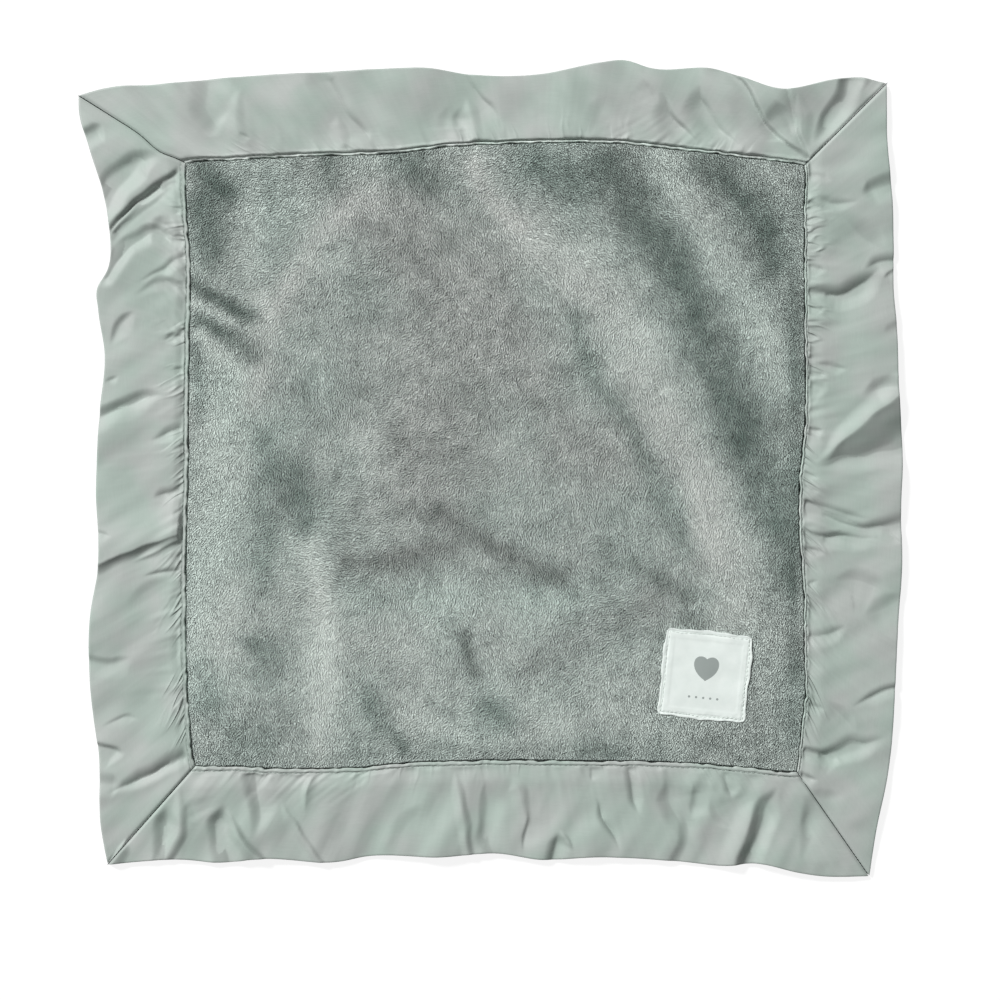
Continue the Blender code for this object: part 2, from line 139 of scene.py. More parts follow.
def valueNoise(x, y, seed):
    # smooth random heights from -1 to 1, one to a unit cell
    cells = 256
    table = np.random.default_rng(seed).uniform(-1, 1, (cells, cells))
    i, j = np.floor(x).astype(int), np.floor(y).astype(int)
    fx, fy = x - i, y - j
    fx, fy = fx * fx * (3 - 2 * fx), fy * fy * (3 - 2 * fy)
    low, high = (table[i % cells, k % cells] * (1 - fx) + table[(i + 1) % cells, k % cells] * fx
                 for k in (j, j + 1))
    return low * (1 - fy) + high * fy


def lineNoise(run, size, seed, row=0):
    return valueNoise(run / size, 0 * run + row, seed)


def softNoise(x, y, seed):
    # rounder hills than valueNoise: every corner of a cell holds a random slope
    cells = 256
    turn = np.random.default_rng(seed).uniform(0, 2 * math.pi, (cells, cells))
    i, j = np.floor(x).astype(int), np.floor(y).astype(int)
    total = np.zeros_like(x)
    for right in (0, 1):
        for up in (0, 1):
            fromX, fromY = x - i - right, y - j - up
            angle = turn[(i + right) % cells, (j + up) % cells]
            near = smoothStep(1, 0, np.abs(fromX)) * smoothStep(1, 0, np.abs(fromY))
            total = total + near * (fromX * np.cos(angle) + fromY * np.sin(angle))
    return 1.6 * total


def hills(x, y, size, seed, shift=(0, 0)):
    return valueNoise(x / size + shift[0], y / size + shift[1], seed)


def hillSum(x, y, rows):
    # rows of size, depth and seed
    return sum(depth * hills(x, y, size, seed) for size, depth, seed in rows)


def swayed(x, y, size, reach, seed):
    # the places moved a little, so that what is placed one by one doesn't look drawn
    return x + reach * hills(x, y, size, seed), y + reach * hills(x, y, size, seed + 1, (0, 50))


def innerCorner(corner):
    x, y = plan["innerShares"][corner]
    return np.array([x * plan["panelWidth"] / 2, y * plan["panelLength"] / 2])


def outerCorner(corner):
    return innerCorner(corner) + plan["borderWidth"] * np.array(plan["reachShares"][corner])


def edgePlace(side, cornerAt, strays, along):
    start, end = (cornerAt(corner) for corner in plan["sides"][side])
    run = end - start
    outward = np.array([-run[1], run[0]]) / np.linalg.norm(run)
    stray = plan["borderWidth"] * curveThrough(strays[side], along)
    if strays is seamShares:  # the sewing strays a little
        length, (short, long) = along * np.linalg.norm(run), plan["wanderSizes"]
        wander = lineNoise(length, short, 74, 3.5) + 0.7 * lineNoise(length, long, 75, 7.5)
        stray = stray + plan["seamWander"] * wander * smoothStep(0, 0.02, along * (1 - along))
    return start + run * along[:, None] + outward * stray[:, None]


def stripPlace(side, along, across):
    # across is one row of shares for every place along: 0 at the seam, 1 at the outer fold
    inner = edgePlace(side, innerCorner, seamShares, along)[:, None]
    outer = edgePlace(side, outerCorner, edgeShares, along)[:, None]
    run, (long, short) = along * sideLength(side), satin["wobbleSizes"]
    wobble = 0.7 + lineNoise(run, long, 71) + 0.8 * lineNoise(run, short, 72)
    wobble = wobble * satin["lipWobble"] * smoothStep(0, 0.02, along * (1 - along))
    reach = plan["borderWidth"] * across
    reach = reach + wobble[:, None] * np.exp(-((reach / satin["wobbleReach"]) ** 2))
    return bent(inner + (outer - inner) * (reach / plan["borderWidth"])[..., None])


def bent(place):
    # the upper left mitre is drawn down beside the plush
    middle = fromPicture([plan["bendMiddle"]])[0]
    away = np.linalg.norm(place - middle, axis=-1) / plan["bendReach"]
    return place + np.array(plan["bend"]) * np.exp(-(away**2))[..., None]


def sideLength(side):
    start, end = (innerCorner(corner) for corner in plan["sides"][side])
    return np.linalg.norm(end - start)


# Folds of the satin. Each has the line of its crest or of its crease, drawn from left to right or
# from bottom to top in the photograph, its height in mm (a crease is below 0), its width in mm on
# the upper or left side, then on the other, and four letters: the shape of each side
# (s soft, c sharp at the line, r a flat ramp) and whether each end fades (f) or runs out (o).
satinFolds = [
    # top side
    ([(222, 134), (212, 124), (203, 108), (206, 82)], -1.0, 9, 5, "ssfo"),
    ([(253, 152), (236, 120), (244, 84)], 0.6, 5, 5, "ssff"),
    ([(239, 132), (251, 139)], -0.5, 2, 2, "ccff"),
    ([(331, 80), (344, 106), (363, 130), (370, 143)], -1.3, 4, 5, "csof"),
    ([(343, 145), (338, 114)], 0.5, 4, 4, "ssof"),
    ([(446, 142), (451, 104)], -0.6, 6, 3, "ssff"),
    ([(466, 141), (460, 122), (462, 106)], -0.8, 4, 2.5, "ssof"),
    ([(476, 143), (472, 118), (466, 96)], 0.7, 3, 5, "ssof"),
    ([(468, 72), (478, 94), (492, 106), (502, 125)], -1.1, 3, 4, "ccof"),
    ([(590, 140), (597, 118), (608, 94)], -0.5, 7, 6, "ssff"),
    ([(643, 78), (650, 92), (657, 108)], -0.4, 3, 3, "ssff"),
    ([(660, 92), (671, 113), (684, 128), (702, 148)], -1.7, 2.6, 4.5, "csff"),
    ([(699, 84), (704, 103), (715, 123), (745, 152)], -1.9, 3.5, 5, "csff"),
    ([(726, 68), (746, 88), (756, 109), (771, 129), (786, 143), (806, 158)], -2.3, 2.2, 5, "csoo"),
    ([(773, 99), (786, 118), (796, 142)], -1.4, 4, 4, "ssff"),
    ([(786, 88), (797, 128), (806, 158)], -1.0, 2, 2.5, "ccoo"),
    ([(798, 92), (806, 152)], 1.0, 4.5, 4, "ssff"),
    ([(814, 146), (827, 122), (843, 97), (849, 82)], -2.2, 6, 3.5, "ssfo"),
    ([(866, 74), (884, 85)], -0.9, 3, 3, "ssff"),
    # right side
    ([(806, 174), (819, 176), (831, 182)], -0.8, 3, 1.5, "ccof"),
    ([(860, 195), (876, 188), (896, 181)], -1.4, 6, 4, "ssfo"),
    ([(814, 194), (831, 204), (860, 201)], -1.0, 4, 2, "csff"),
    ([(806, 202), (819, 209), (834, 212)], -0.8, 2, 2, "ccof"),
    ([(838, 210), (864, 236), (892, 254)], -1.0, 9, 6, "ssff"),
    ([(864, 268), (882, 260), (900, 259)], -1.6, 5, 3, "csfo"),
    ([(804, 264), (828, 273)], -1.0, 3.5, 1.8, "ccof"),
    ([(804, 288), (820, 292), (838, 296), (853, 290), (869, 277), (884, 263)],
     -2.6, (3, 11), (2, 5), "csof"),
    ([(804, 305), (818, 308), (824, 313)], -0.9, 2.5, 1.8, "ccof"),
    ([(884, 278), (898, 271)], -0.7, 2, 2, "ssfo"),
    ([(884, 332), (900, 324)], -0.5, 4, 3, "ssfo"),
    ([(814, 363), (832, 366), (848, 369)], -0.9, 3, 2, "csff"),
    ([(804, 365), (819, 371), (827, 376)], -1.3, 2.5, 1.8, "ccof"),
    ([(807, 379), (829, 391)], -0.7, 4, 3, "ssff"),
    ([(862, 394), (882, 386), (902, 387)], -1.4, 6, 3.5, "ssfo"),
    ([(801, 426), (814, 430), (825, 428)], -1.3, 2.5, 2, "ccof"),
    ([(814, 465), (856, 431), (903, 393)], (1.4, 3.2), (4, 9), (1, 25), "srfo"),
    ([(814, 466), (842, 461), (878, 452), (908, 444)], (-1.2, -2.4), (1, 24), (2, 4.5), "rsfo"),
    ([(801, 468), (819, 479)], -0.8, 2, 2, "ccof"),
    ([(802, 485), (820, 494)], -0.8, 2, 2, "ccof"),
    ([(804, 502), (832, 509), (850, 514), (872, 519)], -1.0, 3, 2.5, "csof"),
    ([(806, 506), (827, 515), (850, 524), (873, 528), (893, 524), (908, 520)],
     -2.0, (3, 7), (2, 3), "csoo"),
    ([(800, 529), (819, 537), (842, 536), (860, 537), (890, 541)], -2.2, (2.5, 7), (2, 4), "csof"),
    ([(880, 526), (900, 543)], -0.7, 2, 2, "ccff"),
    ([(802, 551), (816, 550), (824, 555)], -0.9, 2.5, 2, "ccof"),
    ([(803, 585), (818, 580)], -0.6, 2, 1.5, "ccof"),
    ([(832, 582), (854, 578), (874, 584), (892, 594)], -1.1, 7, 5, "ssff"),
    ([(862, 616), (884, 607), (908, 594)], -0.9, 7, 5, "ssff"),
    ([(803, 637), (827, 633), (846, 625)], -1.1, 4.5, 2.5, "csof"),
    ([(850, 707), (870, 696), (883, 690), (900, 687)], -1.4, 3.5, 2.2, "ccfo"),
    ([(803, 702), (826, 708)], -0.8, 2.5, 2, "ccof"),
    ([(828, 700), (842, 714), (858, 732)], -0.8, 5, 4, "ssff"),
    ([(800, 751), (824, 755), (838, 751), (850, 745), (868, 742), (888, 734)],
     -2.2, (3, 10), (2, 5), "csof"),
    ([(822, 754), (841, 765)], -0.7, 3, 2.5, "ssff"),
    ([(796, 771), (806, 777), (819, 780)], -1.5, 2.5, 1.8, "ccof"),
    ([(806, 790), (824, 797), (846, 796)], -0.6, 5, 4, "ssff"),
    # bottom side
    ([(746, 870), (757, 838), (766, 808), (777, 783)], -2.6, 6, 3, "rsof"),
    ([(732, 872), (741, 845), (752, 818), (764, 798)], 1.2, 7, 6, "srof"),
    ([(733, 800), (727, 787), (723, 768)], -1.0, 3, 2.5, "csfo"),
    ([(734, 830), (718, 814), (710, 796)], -0.7, 4, 5, "ssff"),
    ([(686, 842), (676, 818), (668, 798), (668, 772)], -1.5, 7, 5, "ssff"),
    ([(676, 866), (687, 836), (679, 810)], -1.1, 5, 3, "ssof"),
    ([(690, 820), (696, 800), (693, 780)], -0.8, 3, 3, "ssff"),
    ([(641, 817), (635, 803), (630, 784), (630, 764)], -1.4, 4, 2.2, "csfo"),
    ([(621, 853), (611, 830), (602, 814), (596, 797)], -1.5, 3.5, 2, "ccff"),
    ([(592, 783), (591, 766)], -0.6, 2, 2, "ccfo"),
    ([(550, 866), (557, 833)], -1.6, 5, 3, "csof"),
    ([(572, 851), (559, 829)], 0.8, 2, 2, "ssff"),
    ([(522, 852), (529, 808)], -1.0, 2, 4, "ccff"),
    ([(529, 836), (522, 792), (513, 776)], 0.9, 5, 4, "ssff"),
    ([(493, 858), (486, 836), (487, 800), (486, 778)], -1.2, 5, 4, "ssof"),
    ([(470, 856), (461, 803), (453, 768)], 1.0, 3.5, 3.5, "ssof"),
    ([(384, 855), (407, 824), (426, 806)], -0.7, 7, 5, "ssff"),
    ([(305, 815), (307, 794), (312, 783), (321, 768)], 1.0, 3, 5, "scff"),
    ([(322, 864), (300, 832), (277, 797)], 1.1, 3, 2.2, "scof"),
    ([(263, 862), (246, 841), (235, 825), (227, 805)], 1.9, 4, 3, "scof"),
    ([(228, 868), (221, 832), (225, 802)], -2.3, 8, 3.5, "ssof"),
    ([(254, 842), (260, 808), (255, 789), (253, 766)], -2.1, 7.5, 3.5, "ssfo"),
    ([(163, 860), (165, 830), (169, 804)], -2.0, 6.5, 3.5, "ssof"),
    ([(164, 860), (181, 830), (180, 780)], 1.3, 4, 4, "ssof"),
    ([(198, 822), (187, 799)], -0.6, 4, 4, "ssff"),
    ([(110, 868), (127, 836)], 1.5, 1.5, 6, "ssof"),
    ([(800, 862), (811, 830), (805, 792)], -1.1, 6, 6, "ssff"),
    # left side
    ([(84, 135), (104, 124)], -1.2, 4, 3.5, "ssof"),
    ([(104, 203), (114, 184), (128, 170), (143, 160), (166, 157)], -2.4, 8, 4, "ssof"),
    ([(108, 234), (131, 208), (150, 191), (167, 179), (186, 163)], -2.4, 3, 3, "ccoo"),
    ([(114, 230), (135, 212), (155, 196), (178, 181)], 1.1, 2.5, 3, "ssof"),
    ([(114, 240), (128, 221), (150, 197), (167, 185), (182, 180)], -1.6, 3, 4.5, "ssof"),
    ([(106, 276), (126, 250), (143, 238), (152, 233), (167, 238), (189, 242)], -2.4, 6, 2.5, "scoo"),
    ([(151, 220), (177, 227)], -1.0, 5, 3, "ssff"),
    ([(137, 283), (162, 271), (172, 262), (189, 256)], -1.0, 3, 2, "csfo"),
    ([(131, 298), (162, 282), (177, 286), (189, 290)], -1.1, 4, 2.5, "ssfo"),
    ([(110, 346), (121, 323), (136, 311)], -1.1, 3.5, 2, "ssff"),
    ([(161, 341), (175, 336), (189, 338)], -1.1, 3, 2, "csfo"),
    ([(173, 366), (190, 369)], -0.7, 2, 2, "ccfo"),
    ([(104, 382), (119, 375)], -0.6, 2, 1.5, "ccff"),
    ([(98, 418), (126, 407), (143, 398), (164, 395)], -1.9, 6, 3, "scof"),
    ([(150, 441), (174, 431), (190, 424)], -1.3, 4, 2.5, "csfo"),
    ([(153, 497), (169, 491), (188, 483)], -1.3, 4, 2.2, "csfo"),
    ([(173, 514), (188, 507)], -0.6, 2, 1.5, "ccfo"),
    ([(94, 531), (113, 537)], -0.7, 2.5, 2, "ccof"),
    ([(93, 567), (119, 557), (141, 546), (152, 542), (166, 539), (188, 531)], 2.2, 14, 5, "scoo"),
    ([(130, 563), (152, 553), (169, 545), (188, 537)], 0.9, 2.5, 2.5, "scfo"),
    ([(141, 577), (166, 571), (188, 569)], -0.9, 2.5, 2, "ccfo"),
    ([(126, 606), (152, 590), (180, 576)], -0.6, 6, 6, "ssff"),
    ([(91, 660), (114, 663), (134, 657)], -0.9, 3.5, 3, "ssof"),
    ([(101, 728), (125, 716), (142, 719)], -0.6, 2, 2, "ccff"),
    ([(92, 743), (111, 748), (125, 756)], -1.5, 2, 4.5, "csof"),
    ([(96, 783), (124, 785)], -1.1, 6, 3, "ssof"),
    ([(106, 796), (130, 785), (152, 774), (166, 765), (190, 755)], -2.2, 6, 2, "ccfo"),
]


foldLook = {
    "sunnySide": 2.7,  # how far the side that faces the light is drawn out
    "patchSunnySide": 4.0,
    "ridgeSunnySide": 1.4,
    "strength": 1.2,
    "sway": (9 * mm, 0.9 * mm),
    "fadeShare": 0.4,  # of a fold's length
    "endShare": 0.35,  # of its width, where it has faded out
    "pieces": 16,  # straight pieces that its line is read in
    "edge": 1.2 * mm,
    "dimmest": 2.2 * mm,
    "deepest": 1.45,
    "nearSeam": 0.8,  # the share of a fold's depth that is left at the seam
    "fullStart": 3 * mm,  # from the seam
    "fullFrom": 16 * mm,
}


def pair(value):
    return value if isinstance(value, tuple) else (value, value)


def sideShape(letter, nearness):
    if letter == "c":
        return nearness**2
    return nearness if letter == "r" else nearness * nearness * (3 - 2 * nearness)


def foldRise(x, y):
    # how far the folds lift the satin over the places (x, y), and how much painted shade their shady sides
    # get
    x, y = swayed(x, y, *foldLook["sway"], 51)
    rise, dim = np.zeros_like(x), np.zeros_like(x)
    pieces = foldLook["pieces"]
    for line, height, upperWidth, lowerWidth, letters in satinFolds:
        knots = fromPicture(line)
        knotShares = np.linspace(0, 1, len(knots))
        at = np.linspace(0, 1, pieces + 1)
        path = np.stack([curveThrough(list(zip(knotShares, knots[:, k])), at) for k in (0, 1)], axis=1)
        upper, lower = np.array(pair(upperWidth)) * mm, np.array(pair(lowerWidth)) * mm
        if pair(height)[0] < 0:
            lower = lower * foldLook["patchSunnySide" if letters == "ssff" else "sunnySide"]
        else:
            upper = upper * foldLook["ridgeSunnySide"]
        reach = max(*upper, *lower)
        low, high = path.min(axis=0) - reach, path.max(axis=0) + reach
        near = np.flatnonzero((x > low[0]) & (x < high[0]) & (y > low[1]) & (y < high[1]))
        if not len(near):
            continue
        best = np.full(len(near), 1e9)
        sign, share = np.ones(len(near)), np.zeros(len(near))
        for k in range(pieces):
            run = path[k + 1] - path[k]
            fromX, fromY = x[near] - path[k, 0], y[near] - path[k, 1]
            t = np.clip((fromX * run[0] + fromY * run[1]) / (run @ run), 0, 1)
            away = np.hypot(fromX - t * run[0], fromY - t * run[1])
            closer = away < best
            best = np.where(closer, away, best)
            aside = (run[0] * fromY - run[1] * fromX) / np.linalg.norm(run)
            sign = np.where(closer, aside / np.maximum(away, 1e-6), sign)
            share = np.where(closer, (k + t) / pieces, share)
        fade = np.ones(len(near))
        for letter, fromEnd in zip(letters[2:], (share, 1 - share)):
            if letter == "f":
                fade = fade * smoothStep(0, foldLook["fadeShare"], fromEnd)
        taper = foldLook["endShare"] + (1 - foldLook["endShare"]) * fade
        closeness = [
            np.clip(1 - best / (taper * (side[0] + (side[1] - side[0]) * share)), 0, 1)
            for side in (upper, lower)]
        shapes = [sideShape(letter, value) for letter, value in zip(letters, closeness)]
        start, end = pair(height)
        full = (start + (end - start) * share) * foldLook["strength"] * mm * fade
        sides = smoothStep(-1, 1, sign), smoothStep(1, -1, sign)  # past an end they run together
        rise[near] += full * (shapes[0] * sides[0] + shapes[1] * sides[1])
        # painted shade: the fold's side away from the light is dimmed in colour
        shady = 0 if start < 0 else 1
        soft = sideShape("s", closeness[shady])
        across = soft * sides[shady] + smoothStep(foldLook["edge"], 0, best) * sides[1 - shady]
        dim[near] += np.abs(full) * across
    return rise, np.clip(dim / foldLook["dimmest"], 0, foldLook["deepest"])


# One folded strip of satin binding
satin = {
    "thickness": 0.35 * mm,
    "lipRadius": 0.4 * mm,  # rounded inner edge
    "lipRise": 0.50 * mm,  # how far the lip stands over the hem
    "lipRun": (0.1 * mm, 0.7 * mm),  # from the stitches, where the lip starts and is full
    "lipWobble": 0.38 * mm,
    "wobbleReach": 1.6 * mm,
    "wobbleSizes": (5 * mm, 2.2 * mm),
    "beadSize": 1.9 * mm,
    "frontBand": 3.7 * mm,  # underside of the front hem
    "backBand": 0.8 * mm,
    "bandDepth": 0.8 * mm,
    "hemWidth": 8 * mm,
    "hemGap": 0.12 * mm,  # between the front hem and the plush
    "stitchInset": {"top": 1.6 * mm, "right": 1.35 * mm, "bottom": 2.3 * mm, "left": 2.2 * mm},
    "grooveDepth": {"top": 0.60 * mm, "right": 0.30 * mm, "bottom": 0.20 * mm, "left": 0.35 * mm},
    "grooveWidth": 0.36 * mm,
    "loftStart": 0.2 * mm,
    "loft": {"top": 0.9 * mm, "right": 1.2 * mm, "bottom": 1.1 * mm, "left": 0.9 * mm},
    "loftRun": {"top": 1.6 * mm, "right": 9 * mm, "bottom": 9 * mm, "left": 6 * mm},
    "edgeTop": 3.6 * mm,  # height of the outer fold
    "edgeLift": 4 * mm,
    "liftStart": 0.30,
    "crimp": 0.25 * mm,  # unevenness of the back leaf
    "crimpSize": (9 * mm, 30 * mm),
    "freeRun": (0.3 * mm, 2.6 * mm),  # from the stitches, where the satin starts to be free and is
    "rollStart": 0.10,
    "noseShare": 0.991,  # where the outer fold's round starts
    "mitreDrop": 0.9 * mm,
    "mitreRun": 1.0 * mm,
    "mitreCalm": 12 * mm,
    "puckers": {"top": 0.528 * mm, "right": 1.08 * mm, "bottom": 0.672 * mm, "left": 0.96 * mm},
    "puckerSpacing": 3.1 * mm,
    "puckerLength": 14 * mm,
    "puckerReach": 8 * mm,
    "puckerStart": 1.2 * mm,  # from the stitches
    "puckerPatch": 28 * mm,
    "puckerSlant": 0.9,
    "slantSize": 45 * mm,
    "swell": 0.60 * mm,  # broad unevenness
    "swellSize": 28 * mm,
    "drape": [(15 * mm, 0.95 * mm, 14), (8 * mm, 0.28 * mm, 15)],  # size, rise and seed of its waves
    "drapeStretch": 2.2,
    "drapeTurn": {"top": math.radians(-50), "right": math.radians(22),
                  "bottom": math.radians(62), "left": math.radians(35)},
    "drapeShare": {"top": 1.8, "right": 1.0, "bottom": 1.4, "left": 1.0},
    "gatherSlant": {"top": 0.2, "right": -0.55, "bottom": 0.15, "left": 0.50},
    "gathers": {"top": 0.30, "right": 1.0, "bottom": 0.26, "left": 0.85},
    "gatherStart": 0.6 * mm,  # from the stitches
    "gatherPatch": 11 * mm,
    "gatherReachSize": 6 * mm,
    # painted highlight: the lip is drawn lighter
    "lipPaintedHighlight": {"top": 0.85, "right": 0.38, "bottom": 0.15, "left": 0.12},
    "paintedHighlightRun": (0.2 * mm, 0.7 * mm),
    "paintedHighlightSize": 1.7 * mm,
    # painted shade in the stitch groove, and on the folds' shady sides
    "grooveShade": {"top": 0.48, "right": 0.10, "bottom": 0.10, "left": 0.25},
    "foldShade": 0.215,  # painted shade on the folds' sides that face away from the light
    "leafGap": 0.6 * mm,  # least room between the leaves
    "plushGap": 0.2 * mm,
    "gapEase": 0.22 * mm,
    "overPlush": (14 * mm, 10.5 * mm),  # from the seam, where the plush under the satin ends
    "stations": 590,
    "acrossCount": 56,
    "backCount": 16,
    "endRun": 3.2 * mm,
    "endSteps": [0, 0.3, 0.6, 0.9, 1.3, 1.8, 2.4],  # in mm from a mitre
    "nearReach": [0.45, 0.7, 1.0, 1.3, 1.6, 1.9, 2.2, 2.5, 2.8, 3.1, 3.5, 4, 4.6, 5.2, 5.9,
                  6.7, 7.5],  # in mm from the seam
    "backReach": [0.45, 2, 4],
}


def edgeLift(side, along, across):
    lift = satin["edgeLift"] * np.maximum(curveThrough(liftShares[side], along), 0)[:, None]
    return lift * smoothStep(satin["liftStart"], 1, across)


def backLeaf(side, along, across):
    # underside of the back leaf
    reach, run = across * plan["borderWidth"], along[:, None] * sideLength(side)
    drop = smoothStep(satin["hemWidth"] / plan["borderWidth"], satin["liftStart"], across)
    size, stretch = satin["crimpSize"]
    crimp = satin["crimp"] * (1 + valueNoise(run / size, reach / stretch, 11))
    return satin["backBand"] * (1 - drop) + edgeLift(side, along, across) + crimp * drop


def drapeRise(side, x, y):
    # soft waves that lie aslant
    c, s = math.cos(satin["drapeTurn"][side]), math.sin(satin["drapeTurn"][side])
    total = np.zeros_like(x)
    for size, rise, seed in satin["drape"]:
        aside, ahead = (c * y - s * x) / size, (c * x + s * y) / (satin["drapeStretch"] * size)
        total = total + satin["drapeShare"][side] * rise * softNoise(aside + 90, ahead + 90, seed)
    return total


def frontLeaf(side, along, across):
    # top of the front leaf, and its places in plan
    place = stripPlace(side, along, across)
    x, y = place[..., 0], place[..., 1]
    reach, run = across * plan["borderWidth"], along[:, None] * sideLength(side)
    inset, rollStart = satin["stitchInset"][side], satin["rollStart"]
    bandTop = satin["frontBand"] + satin["bandDepth"]
    loft = smoothStep(inset + satin["loftStart"], inset + satin["loftRun"][side], reach)
    roll = np.clip((across - rollStart) / (1 - rollStart), 0, 1)
    height = (bandTop + satin["loft"][side] * loft) * (1 - roll) + satin["edgeTop"] * roll
    beads = 1 + 0.5 * lineNoise(run, satin["beadSize"], 73)  # the lip puffs between stitches
    lipStart, lipFull = (inset - value for value in satin["lipRun"])
    lip = satin["lipRise"] * smoothStep(lipStart, lipFull, reach) * beads
    groove = satin["grooveDepth"][side] * np.exp(-(((reach - inset) / satin["grooveWidth"]) ** 2))
    height = height + lip - groove
    freeStart, freeFull = (inset + value for value in satin["freeRun"])
    free = smoothStep(freeStart, freeFull, reach)
    fold = foldRise(x.ravel(), y.ravel())[0].reshape(x.shape) * free
    deep = smoothStep(foldLook["fullStart"], foldLook["fullFrom"], reach)
    deepShare = foldLook["nearSeam"] + (1 - foldLook["nearSeam"]) * deep
    height = height + np.where(fold < 0, fold * deepShare, fold)
    fromMitre = np.minimum(run, sideLength(side) - run)
    swell = satin["swell"] * hills(x, y, satin["swellSize"], 3)
    drape = drapeRise(side, x, y) * smoothStep(0, satin["mitreCalm"], fromMitre)
    height = height + (swell + drape) * free
    slant = satin["puckerSlant"] * lineNoise(run, satin["slantSize"], 5)
    pucker = valueNoise((run + slant * reach) / satin["puckerSpacing"], reach / satin["puckerLength"], 6)
    patches = smoothStep(-0.6, 0.6, lineNoise(run, satin["puckerPatch"], 8))
    near = smoothStep(inset, inset + satin["puckerStart"], reach) * np.exp(-reach / satin["puckerReach"])
    height = height + satin["puckers"][side] * pucker * near * patches
    height = height + edgeLift(side, along, across)
    height = height - satin["mitreDrop"] * np.exp(-((fromMitre / satin["mitreRun"]) ** 2))
    # both leaves and the plush between them keep their room
    least = backLeaf(side, along, across) + 2 * satin["thickness"] + satin["leafGap"]
    overPlush = plush["frontPinch"] + satin["thickness"] + satin["plushGap"]
    under = smoothStep(*satin["overPlush"], reach)
    least = np.maximum(least, overPlush) * under + least * (1 - under)
    spare = (height - least) / satin["gapEase"]
    return place, least + satin["gapEase"] * np.logaddexp(0, spare)


def finishMesh(name, places, faces, material):
    mesh = bpy.data.meshes.new(name)
    mesh.from_pydata(places.tolist(), [], faces)
    mesh.update()
    mesh.shade_smooth()
    made = bpy.data.objects.new(name, mesh)
    bpy.context.scene.collection.objects.link(made)
    mesh.materials.append(material)
    return made


def setMap(made, name, uvPlaces):
    # a UV map in metres of cloth
    mesh = made.data
    index = np.empty(len(mesh.loops), np.int32)
    mesh.loops.foreach_get("vertex_index", index)
    layer = mesh.uv_layers.new(name=name)
    layer.uv.foreach_set("vector", np.asarray(uvPlaces, np.float32)[index].ravel())


def setValue(made, name, values):
    layer = made.data.attributes.new(name, "FLOAT", "POINT")
    layer.data.foreach_set("value", np.asarray(values, np.float32).ravel())


